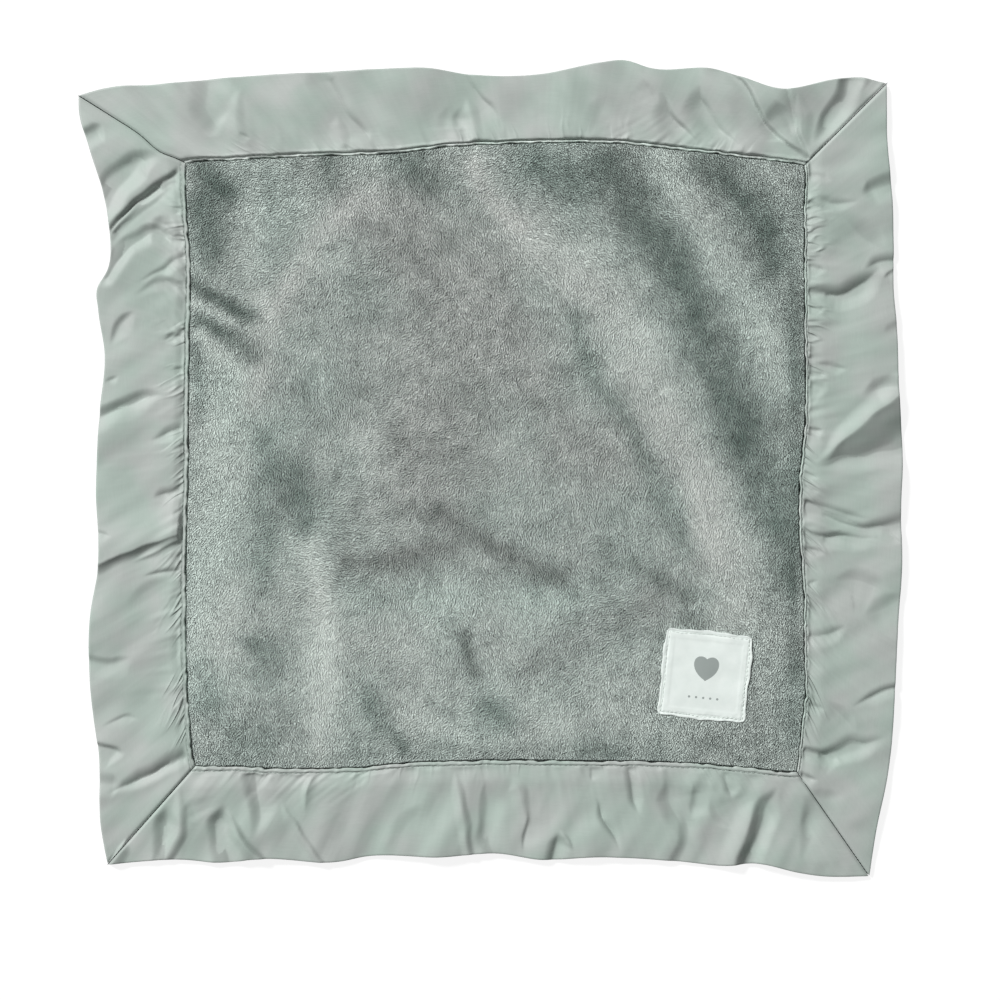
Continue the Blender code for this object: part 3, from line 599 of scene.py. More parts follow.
def makeStrip(side, material):
    length, border = sideLength(side), plan["borderWidth"]
    radius, thick, nose = satin["lipRadius"], satin["thickness"], satin["noseShare"]
    setback = plan["mitreGap"] * math.sqrt(0.5) / length
    ends = setback + np.array(satin["endSteps"]) * mm / length
    start = setback + satin["endRun"] / length
    along = np.concatenate([ends, np.linspace(start, 1 - start, satin["stations"]), 1 - ends[::-1]])
    rows = np.ones((len(along), 1))
    hemShare = satin["hemWidth"] / border
    nearShares, backShares = (np.array(satin[name]) * mm / border for name in ("nearReach", "backReach"))
    hemFront, hemBack = len(nearShares), len(backShares)
    frontShares = np.concatenate([nearShares, np.linspace(hemShare, nose, satin["acrossCount"])])
    backShares = np.concatenate([backShares, np.linspace(hemShare, nose, satin["backCount"])])
    place, top = frontLeaf(side, along, rows * frontShares)
    backPlace = stripPlace(side, along, rows * backShares)
    under = backLeaf(side, along, rows * backShares)
    crown, keel = top[:, -1:], under[:, -1:]
    middle, half = (crown + keel) / 2, (crown - keel) / 2
    angles = np.radians([60, 30, 0, -30, -60])

    def layer(plane, heights):
        return np.concatenate([plane, heights[..., None]], axis=2)

    def column(shares, heights):
        return layer(stripPlace(side, along, np.broadcast_to(shares, heights.shape)), heights)

    def lipColumns(low, degrees):
        turn = np.radians(degrees)
        heights = rows * (low + radius + radius * np.sin(turn))
        return column(radius * (1 - np.cos(turn)) / border, heights)

    def noseColumns(inset, turn):
        shares = nose + (1 - nose - inset / border) * np.cos(turn)
        return column(shares, middle + (half - inset) * np.sin(turn))

    # one closed section: out over the front leaf, back under the back leaf, then round the inside
    hemUnder = np.maximum(top - satin["bandDepth"], plush["frontPinch"] + satin["hemGap"])
    ring = np.concatenate([
        lipColumns(satin["frontBand"], [-90, -45, 0, 45]),
        layer(place, top),
        noseColumns(0, angles),
        layer(backPlace, under)[:, ::-1],
        column(radius / border, rows * satin["backBand"]),
        lipColumns(satin["backBand"], [-45, 0, 45, 90]),
        column(hemShare, rows * (satin["backBand"] + 2 * radius)),
        layer(backPlace, under + thick)[:, hemBack:],
        noseColumns(thick, -angles),
        layer(place, top - thick)[:, :hemFront - 1:-2],
        layer(place, hemUnder)[:, hemFront:1:-2],
    ], axis=1)
    count, around = ring.shape[:2]
    i, j = np.meshgrid(np.arange(count - 1), np.arange(around), indexing="ij")
    following = (j + 1) % around
    quads = np.stack([i * around + j, (i + 1) * around + j, (i + 1) * around + following,
                      i * around + following], axis=-1).reshape(-1, 4)
    faces = quads[:, ::-1].tolist()
    faces.append(list(range(around)))
    faces.append(list(range((count - 1) * around, count * around))[::-1])
    made = finishMesh("satinBinding_" + side, ring.reshape(-1, 3), faces, material)

    steps = np.linalg.norm(np.diff(ring, axis=1), axis=2)
    girth = np.concatenate([np.zeros((count, 1)), np.cumsum(steps, axis=1)], axis=1)
    run = np.broadcast_to(along[:, None] * length, girth.shape)
    setMap(made, "cloth", np.stack([run, girth], axis=-1).reshape(-1, 2))
    seam = edgePlace(side, innerCorner, seamShares, along)[:, None]
    reach = np.linalg.norm(ring[..., :2] - seam, axis=2)
    slanted = run + satin["gatherSlant"][side] * reach
    setMap(made, "gather", np.stack([slanted, reach], axis=-1).reshape(-1, 2))
    inset = satin["stitchInset"][side]
    patches = smoothStep(-0.35, 0.45, lineNoise(run, satin["gatherPatch"], 8))
    gather = satin["gathers"][side] * patches * smoothStep(inset, inset + satin["gatherStart"], reach)
    drawn = satin["puckerReach"] * (1 + 0.5 * lineNoise(run, satin["gatherReachSize"], 12))
    setValue(made, "pull", gather * np.exp(-((reach / drawn) ** 2)))
    # painted highlight along the lip, broken into beads by noise
    beads = 0.7 + 0.6 * lineNoise(run, satin["paintedHighlightSize"], 13)
    highlightStart, highlightFull = (inset - value for value in satin["paintedHighlightRun"])
    glow = satin["lipPaintedHighlight"][side] * beads * smoothStep(highlightStart, highlightFull, reach)
    # painted shade in the stitch groove and on the folds' shady sides
    groove = np.exp(-(((reach - inset) / (1.3 * satin["grooveWidth"])) ** 2))
    dim = foldRise(ring[..., 0].ravel(), ring[..., 1].ravel())[1].reshape(reach.shape)
    dim = dim * (ring[..., 2] > middle) * smoothStep(inset, 3 * inset, reach)
    setValue(made, "shade", 1 + glow - satin["grooveShade"][side] * groove - satin["foldShade"] * dim)
    made.data.set_sharp_from_angle(angle=math.radians(80))
    return made


# The plush panels
plush = {
    "step": 1.07 * mm,  # between the grid's lines
    "frontTop": 6.3 * mm,
    "frontPinch": 2.8 * mm,
    "frontInside": 2.3 * mm,
    "backTop": 0.0,
    "backPinch": 1.75 * mm,
    "backInside": 2.15 * mm,
    "pinchRun": 0.50 * mm,
    "swellRun": 9 * mm,
    "quickShare": 0.62,
    "puff": 1.4 * mm,
    "clump": 0.20 * mm,  # height of the small clumps of pile
    "clumpSize": 3.0 * mm,
    "wave": 0.35 * mm,
    "waveSize": 24 * mm,
    "nap": 0.16 * mm,
    "napSize": (1.1 * mm, 3 * mm),
    "spots": [(24 * mm, 0.24, 21), (9 * mm, 0.29, 22), (4.2 * mm, 0.20, 27)],  # size, depth and seed
    "areaGain": 1.15,
    "paleFrom": 0.4,  # pile can't get much lighter
    "areaSway": (16 * mm, 2.5 * mm),
    "warmth": 0.3,
    "warmthSize": 22 * mm,
    "leanReach": 8 * mm,
    "leanStray": 0.45,
    "leanSize": 13 * mm,
    "backSpots": [(34 * mm, 0.6, 31), (10 * mm, 0.2, 32)],  # the same for the back
    "backWarmth": [(30 * mm, 0.4, 33)],
    "backLean": [(24 * mm, 0.9, 34)],
    "rimSteps": [0, 0.35, 0.7, 1.1, 1.6, 2.2, 2.9],  # in mm from the seam
    "rimEnd": 3.8 * mm,
    "outStep": 1.2 * mm,  # the first step past the seam
}
puffShares = [
    (-0.45, 0.55, 0.40, 0.8), (0.15, 0.35, 0.35, 1.0), (0.72, 0.40, 0.30, 0.8),
    (-0.60, -0.25, 0.40, 0.6), (-0.10, -0.45, 0.35, 0.7), (0.25, -0.75, 0.30, 0.4),
]
# Painted light and shade of the pile, where it folds and where its nap lies over: its line in the
# photograph's pixels, half width in pixels, tone from -1 to 1, and how much warmer or cooler than the rest
# it looks
napLightAndShadeAreas = [
    ([(610, 165), (632, 208), (668, 250), (692, 300), (706, 350), (722, 400), (738, 440)],
     24, -0.82, -0.4),
    ([(748, 465), (770, 530)], 16, -0.4, -0.3),
    ([(535, 165), (572, 185)], 24, -0.6, -0.3),
    ([(474, 168), (494, 198), (516, 222)], 12, 0.45, 0.5),
    ([(530, 238), (575, 272), (612, 312), (640, 352), (662, 400), (685, 450), (707, 500), (722, 550),
      (728, 610)], 32, 0.60, 0.5),
    ([(655, 165), (680, 210), (708, 250), (738, 292), (762, 335), (778, 385)], 18, 0.5, 0),
    ([(702, 165), (738, 196), (765, 226), (775, 260)], 20, -0.85, -0.3),
    ([(790, 290), (795, 400), (795, 600), (795, 740)], 10, -0.35, -0.2),
    ([(762, 410), (780, 500), (785, 590)], 20, -0.35, -0.2),
    ([(200, 165), (228, 192)], 12, -0.9, -0.3),
    ([(206, 205), (214, 250)], 17, -0.75, -0.3),
    ([(198, 284), (222, 300), (252, 318)], 8, -0.95, -0.2),
    ([(197, 301), (233, 323)], 6, 0.5, 0),
    ([(256, 297), (268, 316)], 8, 0.5, 0.1),
    ([(202, 322), (232, 340), (258, 357)], 10, -0.75, -0.3),
    ([(202, 338), (222, 358), (240, 377)], 8, 0.6, 0),
    ([(196, 345), (203, 425)], 6, -0.45, -0.1),
    ([(212, 405), (220, 460), (216, 520), (206, 620), (215, 690)], 30, 0.50, -0.1),
    ([(245, 205), (252, 262)], 22, 0.35, 0),
    ([(348, 208), (312, 244), (285, 300), (264, 350), (254, 400)], 17, 0.45, 0.5),
    ([(400, 165), (360, 198)], 9, 0.22, 0.1),
    ([(295, 470), (304, 516)], 15, -0.58, -0.3),
    ([(243, 638), (282, 655)], 13, -0.35, -0.3),
    ([(202, 706), (262, 738)], 18, -0.32, -0.4),
    ([(264, 440), (268, 520), (262, 590)], 15, -0.32, -0.3),
    ([(310, 548), (323, 610), (327, 690), (320, 745)], 14, 0.85, 0.2),
    ([(330, 165), (338, 195)], 12, -0.45, -0.2),
    ([(398, 162), (440, 185)], 18, -0.5, -0.3),
    ([(400, 225), (470, 300), (440, 380), (420, 470)], 60, -0.14, 0.9),
    ([(520, 330), (560, 440), (600, 460)], 34, -0.05, 0.6),
    ([(572, 320), (606, 392), (652, 465), (690, 548)], 11, -0.45, -0.4),
    ([(362, 428), (372, 470)], 17, 0.35, 0.2),
    ([(438, 508), (476, 536), (515, 560), (560, 578)], 12, -0.62, 0.4),
    ([(345, 562), (400, 562), (450, 546)], 14, -0.5, 0.5),
    ([(430, 598), (560, 602)], 16, 0.35, -0.3),
    ([(632, 562), (660, 578), (690, 598)], 10, -0.5, 0),
    ([(646, 610), (590, 632), (530, 664)], 21, -0.32, 0.4),
    ([(462, 635), (476, 674)], 8, -0.75, 0.2),
    ([(490, 705), (505, 718)], 12, -0.5, -0.3),
    ([(408, 708), (462, 742)], 14, 0.4, 0),
    ([(368, 702), (402, 750)], 10, -0.6, -0.3),
    ([(203, 668), (214, 692)], 14, -0.5, -0.2),
    ([(258, 650), (264, 680)], 15, -0.35, -0.2),
    ([(540, 690), (560, 735)], 17, 0.3, -0.1),
    ([(688, 616), (702, 622)], 7, -0.5, 0),
    ([(694, 736), (716, 742)], 8, -0.5, 0),
    ([(585, 745), (618, 748)], 14, -0.4, -0.2),
    ([(250, 640), (400, 655), (560, 660), (650, 690)], 60, 0.24, 0.1),
]
# How the pile lies: a place in the photograph, and its lean from upright there in degrees
napLeans = [
    (260, 165, 80), (215, 210, 30), (262, 250, 42), (350, 250, 25), (420, 220, 4), (480, 260, -10),
    (420, 330, 30), (500, 170, 60), (565, 215, -62), (605, 235, -35), (645, 265, -30), (720, 250, -20),
    (780, 262, -42), (792, 350, 0), (690, 350, 0), (620, 330, 25), (270, 420, 10), (290, 480, 0),
    (250, 545, 32), (322, 400, -10), (322, 560, 80), (402, 450, 55), (370, 490, 45), (230, 600, 18),
    (540, 660, 35), (602, 620, 50), (482, 640, -20), (560, 595, 0), (620, 710, 0), (440, 600, 15),
    (500, 705, 30), (440, 742, 48), (750, 500, 0), (700, 600, -6), (300, 700, 10), (215, 680, 0),
]


def napToneAndShade(x, y):
    # how light or dark the pile looks, from random tone and painted light and shade, and how warm or cool
    tone = np.zeros_like(x)
    for size, depth, seed in plush["spots"]:
        tone = tone + depth * softNoise(x / size + 60, y / size + 60, seed)
    warm = plush["warmth"] * hills(x, y, plush["warmthSize"], 23, (9, 0))
    movedX, movedY = swayed(x, y, *plush["areaSway"], 24)
    for line, halfWidth, depth, warmth in napLightAndShadeAreas:
        path = fromPicture(line)
        away = np.full(x.shape, 1e9)
        for start, end in zip(path, path[1:]):
            run = end - start
            fromX, fromY = movedX - start[0], movedY - start[1]
            t = np.clip((fromX * run[0] + fromY * run[1]) / (run @ run), 0, 1)
            away = np.minimum(away, np.hypot(fromX - t * run[0], fromY - t * run[1]))
        near = np.exp(-((away / (halfWidth * picture["pixel"])) ** 2))
        tone, warm = tone + plush["areaGain"] * depth * near, warm + warmth * near
    tone = np.minimum(tone, (tone + plush["paleFrom"]) / 2)
    return np.clip(tone, -1.3, 1.3), np.clip(warm, -1, 1)


def napLean(x, y):
    # the pile's lean in radians, between the given places
    c, s = np.zeros_like(x), np.zeros_like(x)
    for pixelX, pixelY, degrees in napLeans:
        place = fromPicture([(pixelX, pixelY)])[0]
        weight = 1 / ((x - place[0]) ** 2 + (y - place[1]) ** 2 + plush["leanReach"] ** 2) ** 1.5
        c += weight * math.cos(2 * math.radians(degrees))
        s += weight * math.sin(2 * math.radians(degrees))
    return np.arctan2(s, c) / 2 + plush["leanStray"] * hills(x, y, plush["leanSize"], 26)


def panelPlace(xShare, yShare):
    # a place of the plush in plan, between its four curved seams
    low = edgePlace("bottom", innerCorner, seamShares, 1 - xShare)[:, None]
    high = edgePlace("top", innerCorner, seamShares, xShare)[:, None]
    left = edgePlace("left", innerCorner, seamShares, yShare)[None]
    right = edgePlace("right", innerCorner, seamShares, 1 - yShare)[None]
    u, v = xShare[:, None, None], yShare[None, :, None]
    lowChord = innerCorner("bottomLeft") * (1 - u) + innerCorner("bottomRight") * u
    highChord = innerCorner("topLeft") * (1 - u) + innerCorner("topRight") * u
    chords = lowChord * (1 - v) + highChord * v
    return low * (1 - v) + high * v + left * (1 - u) + right * u - chords


def pileShare(reach):
    # the pile stands up at once beside the seam, then swells slowly
    quick = 1 - np.clip(1 - reach / plush["pinchRun"], 0, 1) ** 2
    slow = smoothStep(0, plush["swellRun"], reach)
    return plush["quickShare"] * quick + (1 - plush["quickShare"]) * slow


def plushRelief(x, y, seed):
    clump, wave = hills(x, y, plush["clumpSize"], seed), hills(x, y, plush["waveSize"], seed + 1)
    nap = valueNoise(x / plush["napSize"][0], y / plush["napSize"][1], seed + 2)
    return plush["clump"] * clump + plush["wave"] * wave + plush["nap"] * nap


def gridFaces(rows, columns):
    # the faces of a grid of places, and its rim in order
    index = np.arange(rows * columns).reshape(rows, columns)
    quads = np.stack([index[:-1, :-1], index[1:, :-1], index[1:, 1:], index[:-1, 1:]], axis=-1)
    rim = np.concatenate([index[:-1, 0], index[-1, :-1], index[:0:-1, -1], index[0, :0:-1]])
    return quads.reshape(-1, 4), rim


def wallFaces(upper, lower):
    return np.stack([upper, lower, np.roll(lower, -1), np.roll(upper, -1)], axis=-1)


def gridSteps(length):
    # shares along a panel, and how far each lies past its seam, with narrow steps at both rims
    allowance, rimEnd = plan["seamAllowance"], plush["rimEnd"] / length
    close = np.array(plush["rimSteps"]) * mm / length
    middle = np.linspace(rimEnd, 1 - rimEnd, int(length / plush["step"]) - 6)
    inside = np.concatenate([close, middle, 1 - close[::-1]])
    outside = np.array([allowance, allowance / 2, plush["outStep"]])
    shares = np.concatenate([np.zeros(3), inside, np.ones(3)])
    moves = np.concatenate([-outside, np.zeros(len(inside)), outside[::-1]])
    return shares, moves, np.minimum(shares, 1 - shares) * length


def puffRise(x, y):
    # the front panel swells between its seams, and lies flat under the label
    halfWidth, halfLength = plan["panelWidth"] / 2, plan["panelLength"] / 2
    rise = np.zeros_like(x)
    for xShare, yShare, reachShare, heightShare in puffShares:
        away = np.hypot(x - xShare * halfWidth, y - yShare * halfLength) / (reachShare * halfWidth)
        rise += plush["puff"] * heightShare * np.exp(-(away**2))
    middle = labelMiddle()
    return rise * smoothStep(*label["flatReach"], np.hypot(x - middle[0], y - middle[1]))


def makePanel(name, front, material):
    xShares, xMoves, xReach = gridSteps(plan["panelWidth"])
    yShares, yMoves, yReach = gridSteps(plan["panelLength"])
    place = panelPlace(xShares, yShares)
    x, y = place[..., 0] + xMoves[:, None], place[..., 1] + yMoves[None]
    full = pileShare(xReach[:, None]) * pileShare(yReach[None])
    relief = plushRelief(x, y, 40 if front else 50)
    if front:
        tone, warm = napToneAndShade(x, y)
        lean = napLean(x, y)
        rise = plush["frontTop"] - plush["frontPinch"] + puffRise(x, y) + relief
        outer, inner = plush["frontPinch"] + rise * full, plush["frontInside"]
    else:  # the back isn't in the photograph
        tone, warm, lean = (
            hillSum(x, y, plush[rows]) for rows in ("backSpots", "backWarmth", "backLean"))
        rise = plush["backTop"] - plush["backPinch"] + plush["clump"] + np.abs(relief)
        outer, inner = plush["backPinch"] + rise * full, plush["backInside"]
    quads, rim = gridFaces(*x.shape)
    places = np.stack([x.ravel(), y.ravel(), outer.ravel()], axis=1)
    insideRim = places[rim].copy()
    insideRim[:, 2] = inner
    lid = len(places) + np.arange(len(rim))
    faces = quads.tolist() + wallFaces(rim, lid).tolist() + [lid[::-1].tolist()]
    if not front:
        faces = [face[::-1] for face in faces]
    made = finishMesh(name, np.concatenate([places, insideRim]), faces, material)
    for layer, values in (("nap", tone), ("warmth", warm), ("lean", lean)):
        setValue(made, layer, np.concatenate([values.ravel(), np.zeros(len(rim))]))
    made.data.set_sharp_from_angle(angle=math.radians(80))
    return made


# The sewn-on label
label = {
    "side": 45 * mm,
    "turn": math.radians(-6),
    "placeShares": (0.7035, -0.6838),  # its middle, of the panel's half sides
    "base": 6.35 * mm,
    "thickness": 0.45 * mm,
    "hem": 5 * mm,  # turned under all round
    "hemRise": 0.12 * mm,
    "hemEase": 0.6 * mm,
    "flatReach": (26 * mm, 48 * mm),  # from its middle, where the plush starts to swell and is full
    "edgeWave": 0.35 * mm,
    "edgeWaves": 1.5 * math.pi,
    "scallop": 0.20 * mm,
    "scallops": (4.3 * math.pi, 4.7 * math.pi),
    "bluntShare": 0.045,  # the corners are tucked in
    "wave": 0.35 * mm,
    "waveSize": 9 * mm,
    "pucker": 0.16 * mm,
    "puckerSize": 2.3 * mm,
    "puckerReach": 3.5 * mm,
    "stitchInset": 1.8 * mm,
    "stitchDepth": 0.30 * mm,
    "stitchWidth": 0.6 * mm,
    "rounding": 0.4 * mm,
    "lines": 97,
    "crowding": 0.94 * math.pi / 2,  # draws the grid's lines together at the edges
    "ribSize": 0.22 * mm,  # of the ribbon that it is cut from
    "ribDepth": 0.06 * mm,
    "shadeSize": 6 * mm,
    "heartHalf": 5.6 * mm,
    "heartUp": 2.5 * mm,  # from the label's middle
    "dotStep": 3.6 * mm,
    "dotHalf": 0.6 * mm,
    "dotsDown": 11.5 * mm,
    "dotsReach": 9 * mm,
}


def labelMiddle():
    x, y = label["placeShares"]
    return np.array([x * plan["panelWidth"] / 2, y * plan["panelLength"] / 2])


def labelPlace(xShare, yShare, half):
    # a place on the label, from shares of its half side; its edges wave a little
    waves, wave, scallop = label["edgeWaves"], label["edgeWave"], label["scallop"]
    first, second = label["scallops"]
    bendX = wave * np.sin(waves * yShare) * xShare + scallop * np.sin(first * yShare + 1) * xShare**3
    bendY = wave * np.cos(waves * xShare) * yShare + scallop * np.sin(second * xShare + 2) * yShare**3
    blunt = 1 - label["bluntShare"] * (xShare * yShare) ** 8
    return (half * xShare + bendX) * blunt, (half * yShare + bendY) * blunt


def labelTop(x, y):
    # height of the label's face over its own flat place (x, y)
    edge = label["side"] / 2 - np.maximum(np.abs(x), np.abs(y))
    hemLow, hemHigh = label["hem"] - label["hemEase"], label["hem"] + label["hemEase"]
    hem = label["hemRise"] * (1 - smoothStep(hemLow, hemHigh, edge))
    fromStitch = (edge - label["stitchInset"]) / label["stitchWidth"]
    sewn = label["stitchDepth"] * np.exp(-(fromStitch**2))
    wave = label["wave"] * hills(x, y, label["waveSize"], 61, (40, 40))
    pucker = label["pucker"] * hills(x + y, x - y, label["puckerSize"], 62, (9, 0))
    pucker = pucker * np.exp(-((edge / label["puckerReach"]) ** 2))
    return label["base"] + label["thickness"] + hem - sewn + wave + pucker


def turned(x, y):
    c, s = math.cos(label["turn"]), math.sin(label["turn"])
    middle = labelMiddle()
    return middle[0] + c * x - s * y, middle[1] + s * x + c * y


def makeLabel(material):
    half, count, bend = label["side"] / 2, label["lines"], label["rounding"]
    shares = np.sin(np.linspace(-1, 1, count) * label["crowding"]) / math.sin(label["crowding"])
    u, v = np.meshgrid(shares, shares, indexing="ij")
    x, y = labelPlace(u, v, half)
    edge = half - half * np.maximum(np.abs(u), np.abs(v))
    rounding = bend * (1 - np.sqrt(1 - np.clip(1 - edge / bend, 0, 1) ** 2))
    top = labelTop(x, y) - rounding
    bottom = labelTop(x, y) - label["thickness"] + rounding * 0.1
    worldX, worldY = turned(x, y)
    quads, rim = gridFaces(count, count)
    places = np.concatenate([
        np.stack([worldX.ravel(), worldY.ravel(), heights.ravel()], axis=1) for heights in (top, bottom)])
    faces = np.concatenate([quads, quads[:, ::-1] + count**2, wallFaces(rim, rim + count**2)])
    made = finishMesh("sewnLabel", places, faces.tolist(), material)
    setMap(made, "cloth", np.tile(np.stack([x.ravel(), y.ravel()], axis=1), (2, 1)))
    return made


# Stitches: one is shaped, then laid along a seam
stitch = {
    "pitch": 2.6 * mm,
    "fill": 0.94,
    "thick": 0.42 * mm,
    "dip": 0.22 * mm,
    "frontRise": 0.10 * mm,  # of its middle over the cloth
    "backRise": 0.12 * mm,
    "mitreDepth": {"front": 1.05 * mm, "back": 0.32 * mm},
    "mitreRun": (0.04, 0.97),
    "mitrePitch": 1.9 * mm,
    "mitreFill": 1.5,  # these overlap, so the seam shows as a line
    "labelPitch": 2.2 * mm,
    "fuzzSize": 0.5 * mm,
    "fuzzDepth": 0.08 * mm,
}


def makeStitches(name, route, material, pitch=stitch["pitch"], fill=stitch["fill"], closed=False):
    # route is a list of places in space that the thread follows; fill is a stitch's share of the pitch
    bpy.ops.object.select_all(action="DESELECT")
    bpy.ops.mesh.primitive_uv_sphere_add(segments=6, ring_count=6, radius=0.5, location=(0, 0, 0))
    made = bpy.context.object
    made.name = made.data.name = name
    bpy.ops.object.mode_set(mode="EDIT")
    bpy.ops.mesh.select_all(action="SELECT")
    bpy.ops.transform.rotate(value=math.pi / 2, orient_axis="Y", center_override=(0, 0, 0))
    length = pitch * fill
    bpy.ops.transform.resize(value=(length, stitch["thick"], stitch["thick"]))
    bpy.ops.transform.translate(value=(length / 2, 0, 0))
    bpy.ops.object.mode_set(mode="OBJECT")
    for vertex in made.data.vertices:  # both ends dive into the cloth
        share = 2 * vertex.co.x / length - 1
        vertex.co.z -= stitch["dip"] * share**4
    guide = bpy.data.curves.new(name + "Guide", "CURVE")
    guide.dimensions = "3D"
    guide.twist_mode = "Z_UP"
    spline = guide.splines.new("POLY")
    spline.points.add(len(route) - 1)
    for point, place in zip(spline.points, route):
        point.co = (*place, 1)
    spline.use_cyclic_u = closed
    path = bpy.data.objects.new(name + "Guide", guide)
    bpy.context.scene.collection.objects.link(path)
    row = made.modifiers.new("row", "ARRAY")
    row.use_relative_offset = False
    row.use_constant_offset = True
    row.constant_offset_displace = (pitch, 0, 0)
    row.fit_type = "FIT_CURVE"
    row.curve = path
    bend = made.modifiers.new("bend", "CURVE")
    bend.object = path
    bend.deform_axis = "POS_X"
    bpy.context.view_layer.objects.active = made
    for modifier in ("row", "bend"):
        bpy.ops.object.modifier_apply(modifier=modifier)
    bpy.data.objects.remove(path)
    bpy.data.curves.remove(guide)
    made.data.shade_smooth()
    made.data.materials.append(material)
    return made


def seamRoute(side, front):
    inset = satin["stitchInset"][side]
    margin = inset / sideLength(side)
    along = np.linspace(margin, 1 - margin, 260)
    across = np.full((len(along), 1), inset / plan["borderWidth"])
    if front:
        place, height = frontLeaf(side, along, across)
        height = height + stitch["frontRise"]
    else:
        place = stripPlace(side, along, across)
        height = backLeaf(side, along, across) - stitch["backRise"]
    return np.concatenate([place[:, 0], height], axis=1)


def mitreRoute(corner, front):
    side = next(side for side, ends in plan["sides"].items() if ends[0] == corner)
    shares = np.linspace(*stitch["mitreRun"], 60)
    start, end = innerCorner(corner), outerCorner(corner)
    place = bent(start + (end - start) * shares[:, None])
    along = np.array([plan["mitreGap"] * math.sqrt(0.5) / sideLength(side)])
    if front:
        height = frontLeaf(side, along, shares[None])[1][0] - stitch["mitreDepth"]["front"]
    else:
        height = backLeaf(side, along, shares[None])[0] + stitch["mitreDepth"]["back"]
    return np.concatenate([place, height[:, None]], axis=1)


def labelRoute():
    half, inset = label["side"] / 2, label["stitchInset"] / (label["side"] / 2)
    line = np.linspace(-1, 1, 41)[:-1] * (1 - inset)
    near = np.full(len(line), 1 - inset)
    u = np.concatenate([line, near, -line, -near])
    v = np.concatenate([-near, line, near, -line])
    x, y = labelPlace(u, v, half)
    worldX, worldY = turned(x, y)
    return np.stack([worldX, worldY, labelTop(x, y) + stitch["backRise"]], axis=1)


# Materials
def colour(text):
    # an sRGB hex value as linear light
    parts = [int(text[k:k + 2], 16) / 255 for k in (1, 3, 5)]
    return (*[p / 12.92 if p <= 0.04045 else ((p + 0.055) / 1.055) ** 2.4 for p in parts], 1)


def addNode(tree, kind, links=None, **settings):
    # an input takes a number, a colour, another node's output, or a node for its first output
    node = tree.nodes.new(kind)
    for name, value in settings.items():
        setattr(node, name, value)
    for socket, value in (links or {}).items():
        if isinstance(value, bpy.types.Node):
            value = value.outputs[0]
        if isinstance(value, bpy.types.NodeSocket):
            tree.links.new(value, node.inputs[socket])
        else:
            node.inputs[socket].default_value = value
    return node


def newMaterial(name):
    material = bpy.data.materials.new(name)
    material.use_nodes = True
    material.node_tree.nodes.clear()
    return material, material.node_tree


satinLook = {
    "tintSize": 24 * mm,
    "streak": (2.2 * mm, 26 * mm),  # tension streaks, their size along and across
    "thread": (9 * mm, 0.6 * mm),  # warp threads, drawn coarse
    "weaveDepth": 0.06 * mm,
    "gather": (6.4 * mm, 20 * mm),
    "gatherDepth": 1.0 * mm,
}


def satinBinding():
    # polyester satin, warp floats along the binding: a soft broad gloss that slides over the folds
    material, tree = newMaterial("polyesterSatin")
    place = addNode(tree, "ShaderNodeTexCoord")
    cloth = addNode(tree, "ShaderNodeUVMap", uv_map="cloth")
    seam = addNode(tree, "ShaderNodeUVMap", uv_map="gather")
    stretched = []
    for source, name, detail in ((cloth, "streak", 2.0), (cloth, "thread", 1.0), (seam, "gather", 1.0)):
        along, across = satinLook[name]
        scaled = addNode(tree, "ShaderNodeMapping", {"Vector": source, "Scale": (1 / along, 1 / across, 1)})
        stretched.append(addNode(tree, "ShaderNodeTexNoise", {
            "Vector": scaled, "Scale": 1.0, "Detail": detail}))
    streak, thread, gathers = stretched
    drift = addNode(tree, "ShaderNodeTexNoise", {
        "Vector": place.outputs["Object"], "Scale": 1 / satinLook["tintSize"], "Detail": 2.0})
    tint = addNode(tree, "ShaderNodeMapRange", {"Value": drift, "From Min": 0.36, "From Max": 0.64})
    base = addNode(tree, "ShaderNodeMix", {
        "Factor": tint, 6: colour("#A7B5AD"), 7: colour("#AFB5B1")}, data_type="RGBA")
    weave = addNode(tree, "ShaderNodeMath", {0: streak, 1: thread}, operation="ADD")
    woven = addNode(tree, "ShaderNodeMapRange", {
        "Value": weave, "From Min": 0.6, "From Max": 1.4, "To Min": 0.96, "To Max": 1.04})
    # painted highlight on the lip and painted shade in the groove and on the folds, read from the shade
    # attribute
    folded = addNode(tree, "ShaderNodeAttribute", attribute_name="shade")
    shade = addNode(tree, "ShaderNodeMath", {0: woven, 1: folded.outputs["Fac"]}, operation="MULTIPLY")
    toned = addNode(tree, "ShaderNodeVectorMath", {0: base.outputs[2], "Scale": shade}, operation="SCALE")
    rough = addNode(tree, "ShaderNodeMapRange", {
        "Value": weave, "From Min": 0.6, "From Max": 1.4, "To Min": 0.54, "To Max": 0.60})
    # gathers along the seam: creases where the noise crosses its middle
    fromMiddle = addNode(tree, "ShaderNodeMath", {0: gathers, 1: 0.5}, operation="SUBTRACT")
    away = addNode(tree, "ShaderNodeMath", {0: fromMiddle}, operation="ABSOLUTE")
    crease = addNode(tree, "ShaderNodeMapRange", {
        "Value": away, "From Min": 0.0, "From Max": 0.12, "To Min": -1.0, "To Max": 0.0},
        interpolation_type="SMOOTHSTEP")
    pull = addNode(tree, "ShaderNodeAttribute", attribute_name="pull")
    pulled = addNode(tree, "ShaderNodeMath", {0: crease, 1: pull.outputs["Fac"]}, operation="MULTIPLY")
    puckers = addNode(tree, "ShaderNodeBump", {
        "Height": pulled, "Strength": 1.0, "Distance": satinLook["gatherDepth"]})
    relief = addNode(tree, "ShaderNodeBump", {
        "Height": weave, "Strength": 0.4, "Distance": satinLook["weaveDepth"], "Normal": puckers})
    tangent = addNode(tree, "ShaderNodeTangent", direction_type="UV_MAP", uv_map="cloth")
    shader = addNode(tree, "ShaderNodeBsdfPrincipled", {
        "Base Color": toned, "Roughness": rough, "Normal": relief, "Tangent": tangent,
        "Anisotropic": 0.35, "Specular IOR Level": 0.36})
    addNode(tree, "ShaderNodeOutputMaterial", {"Surface": shader})
    return material


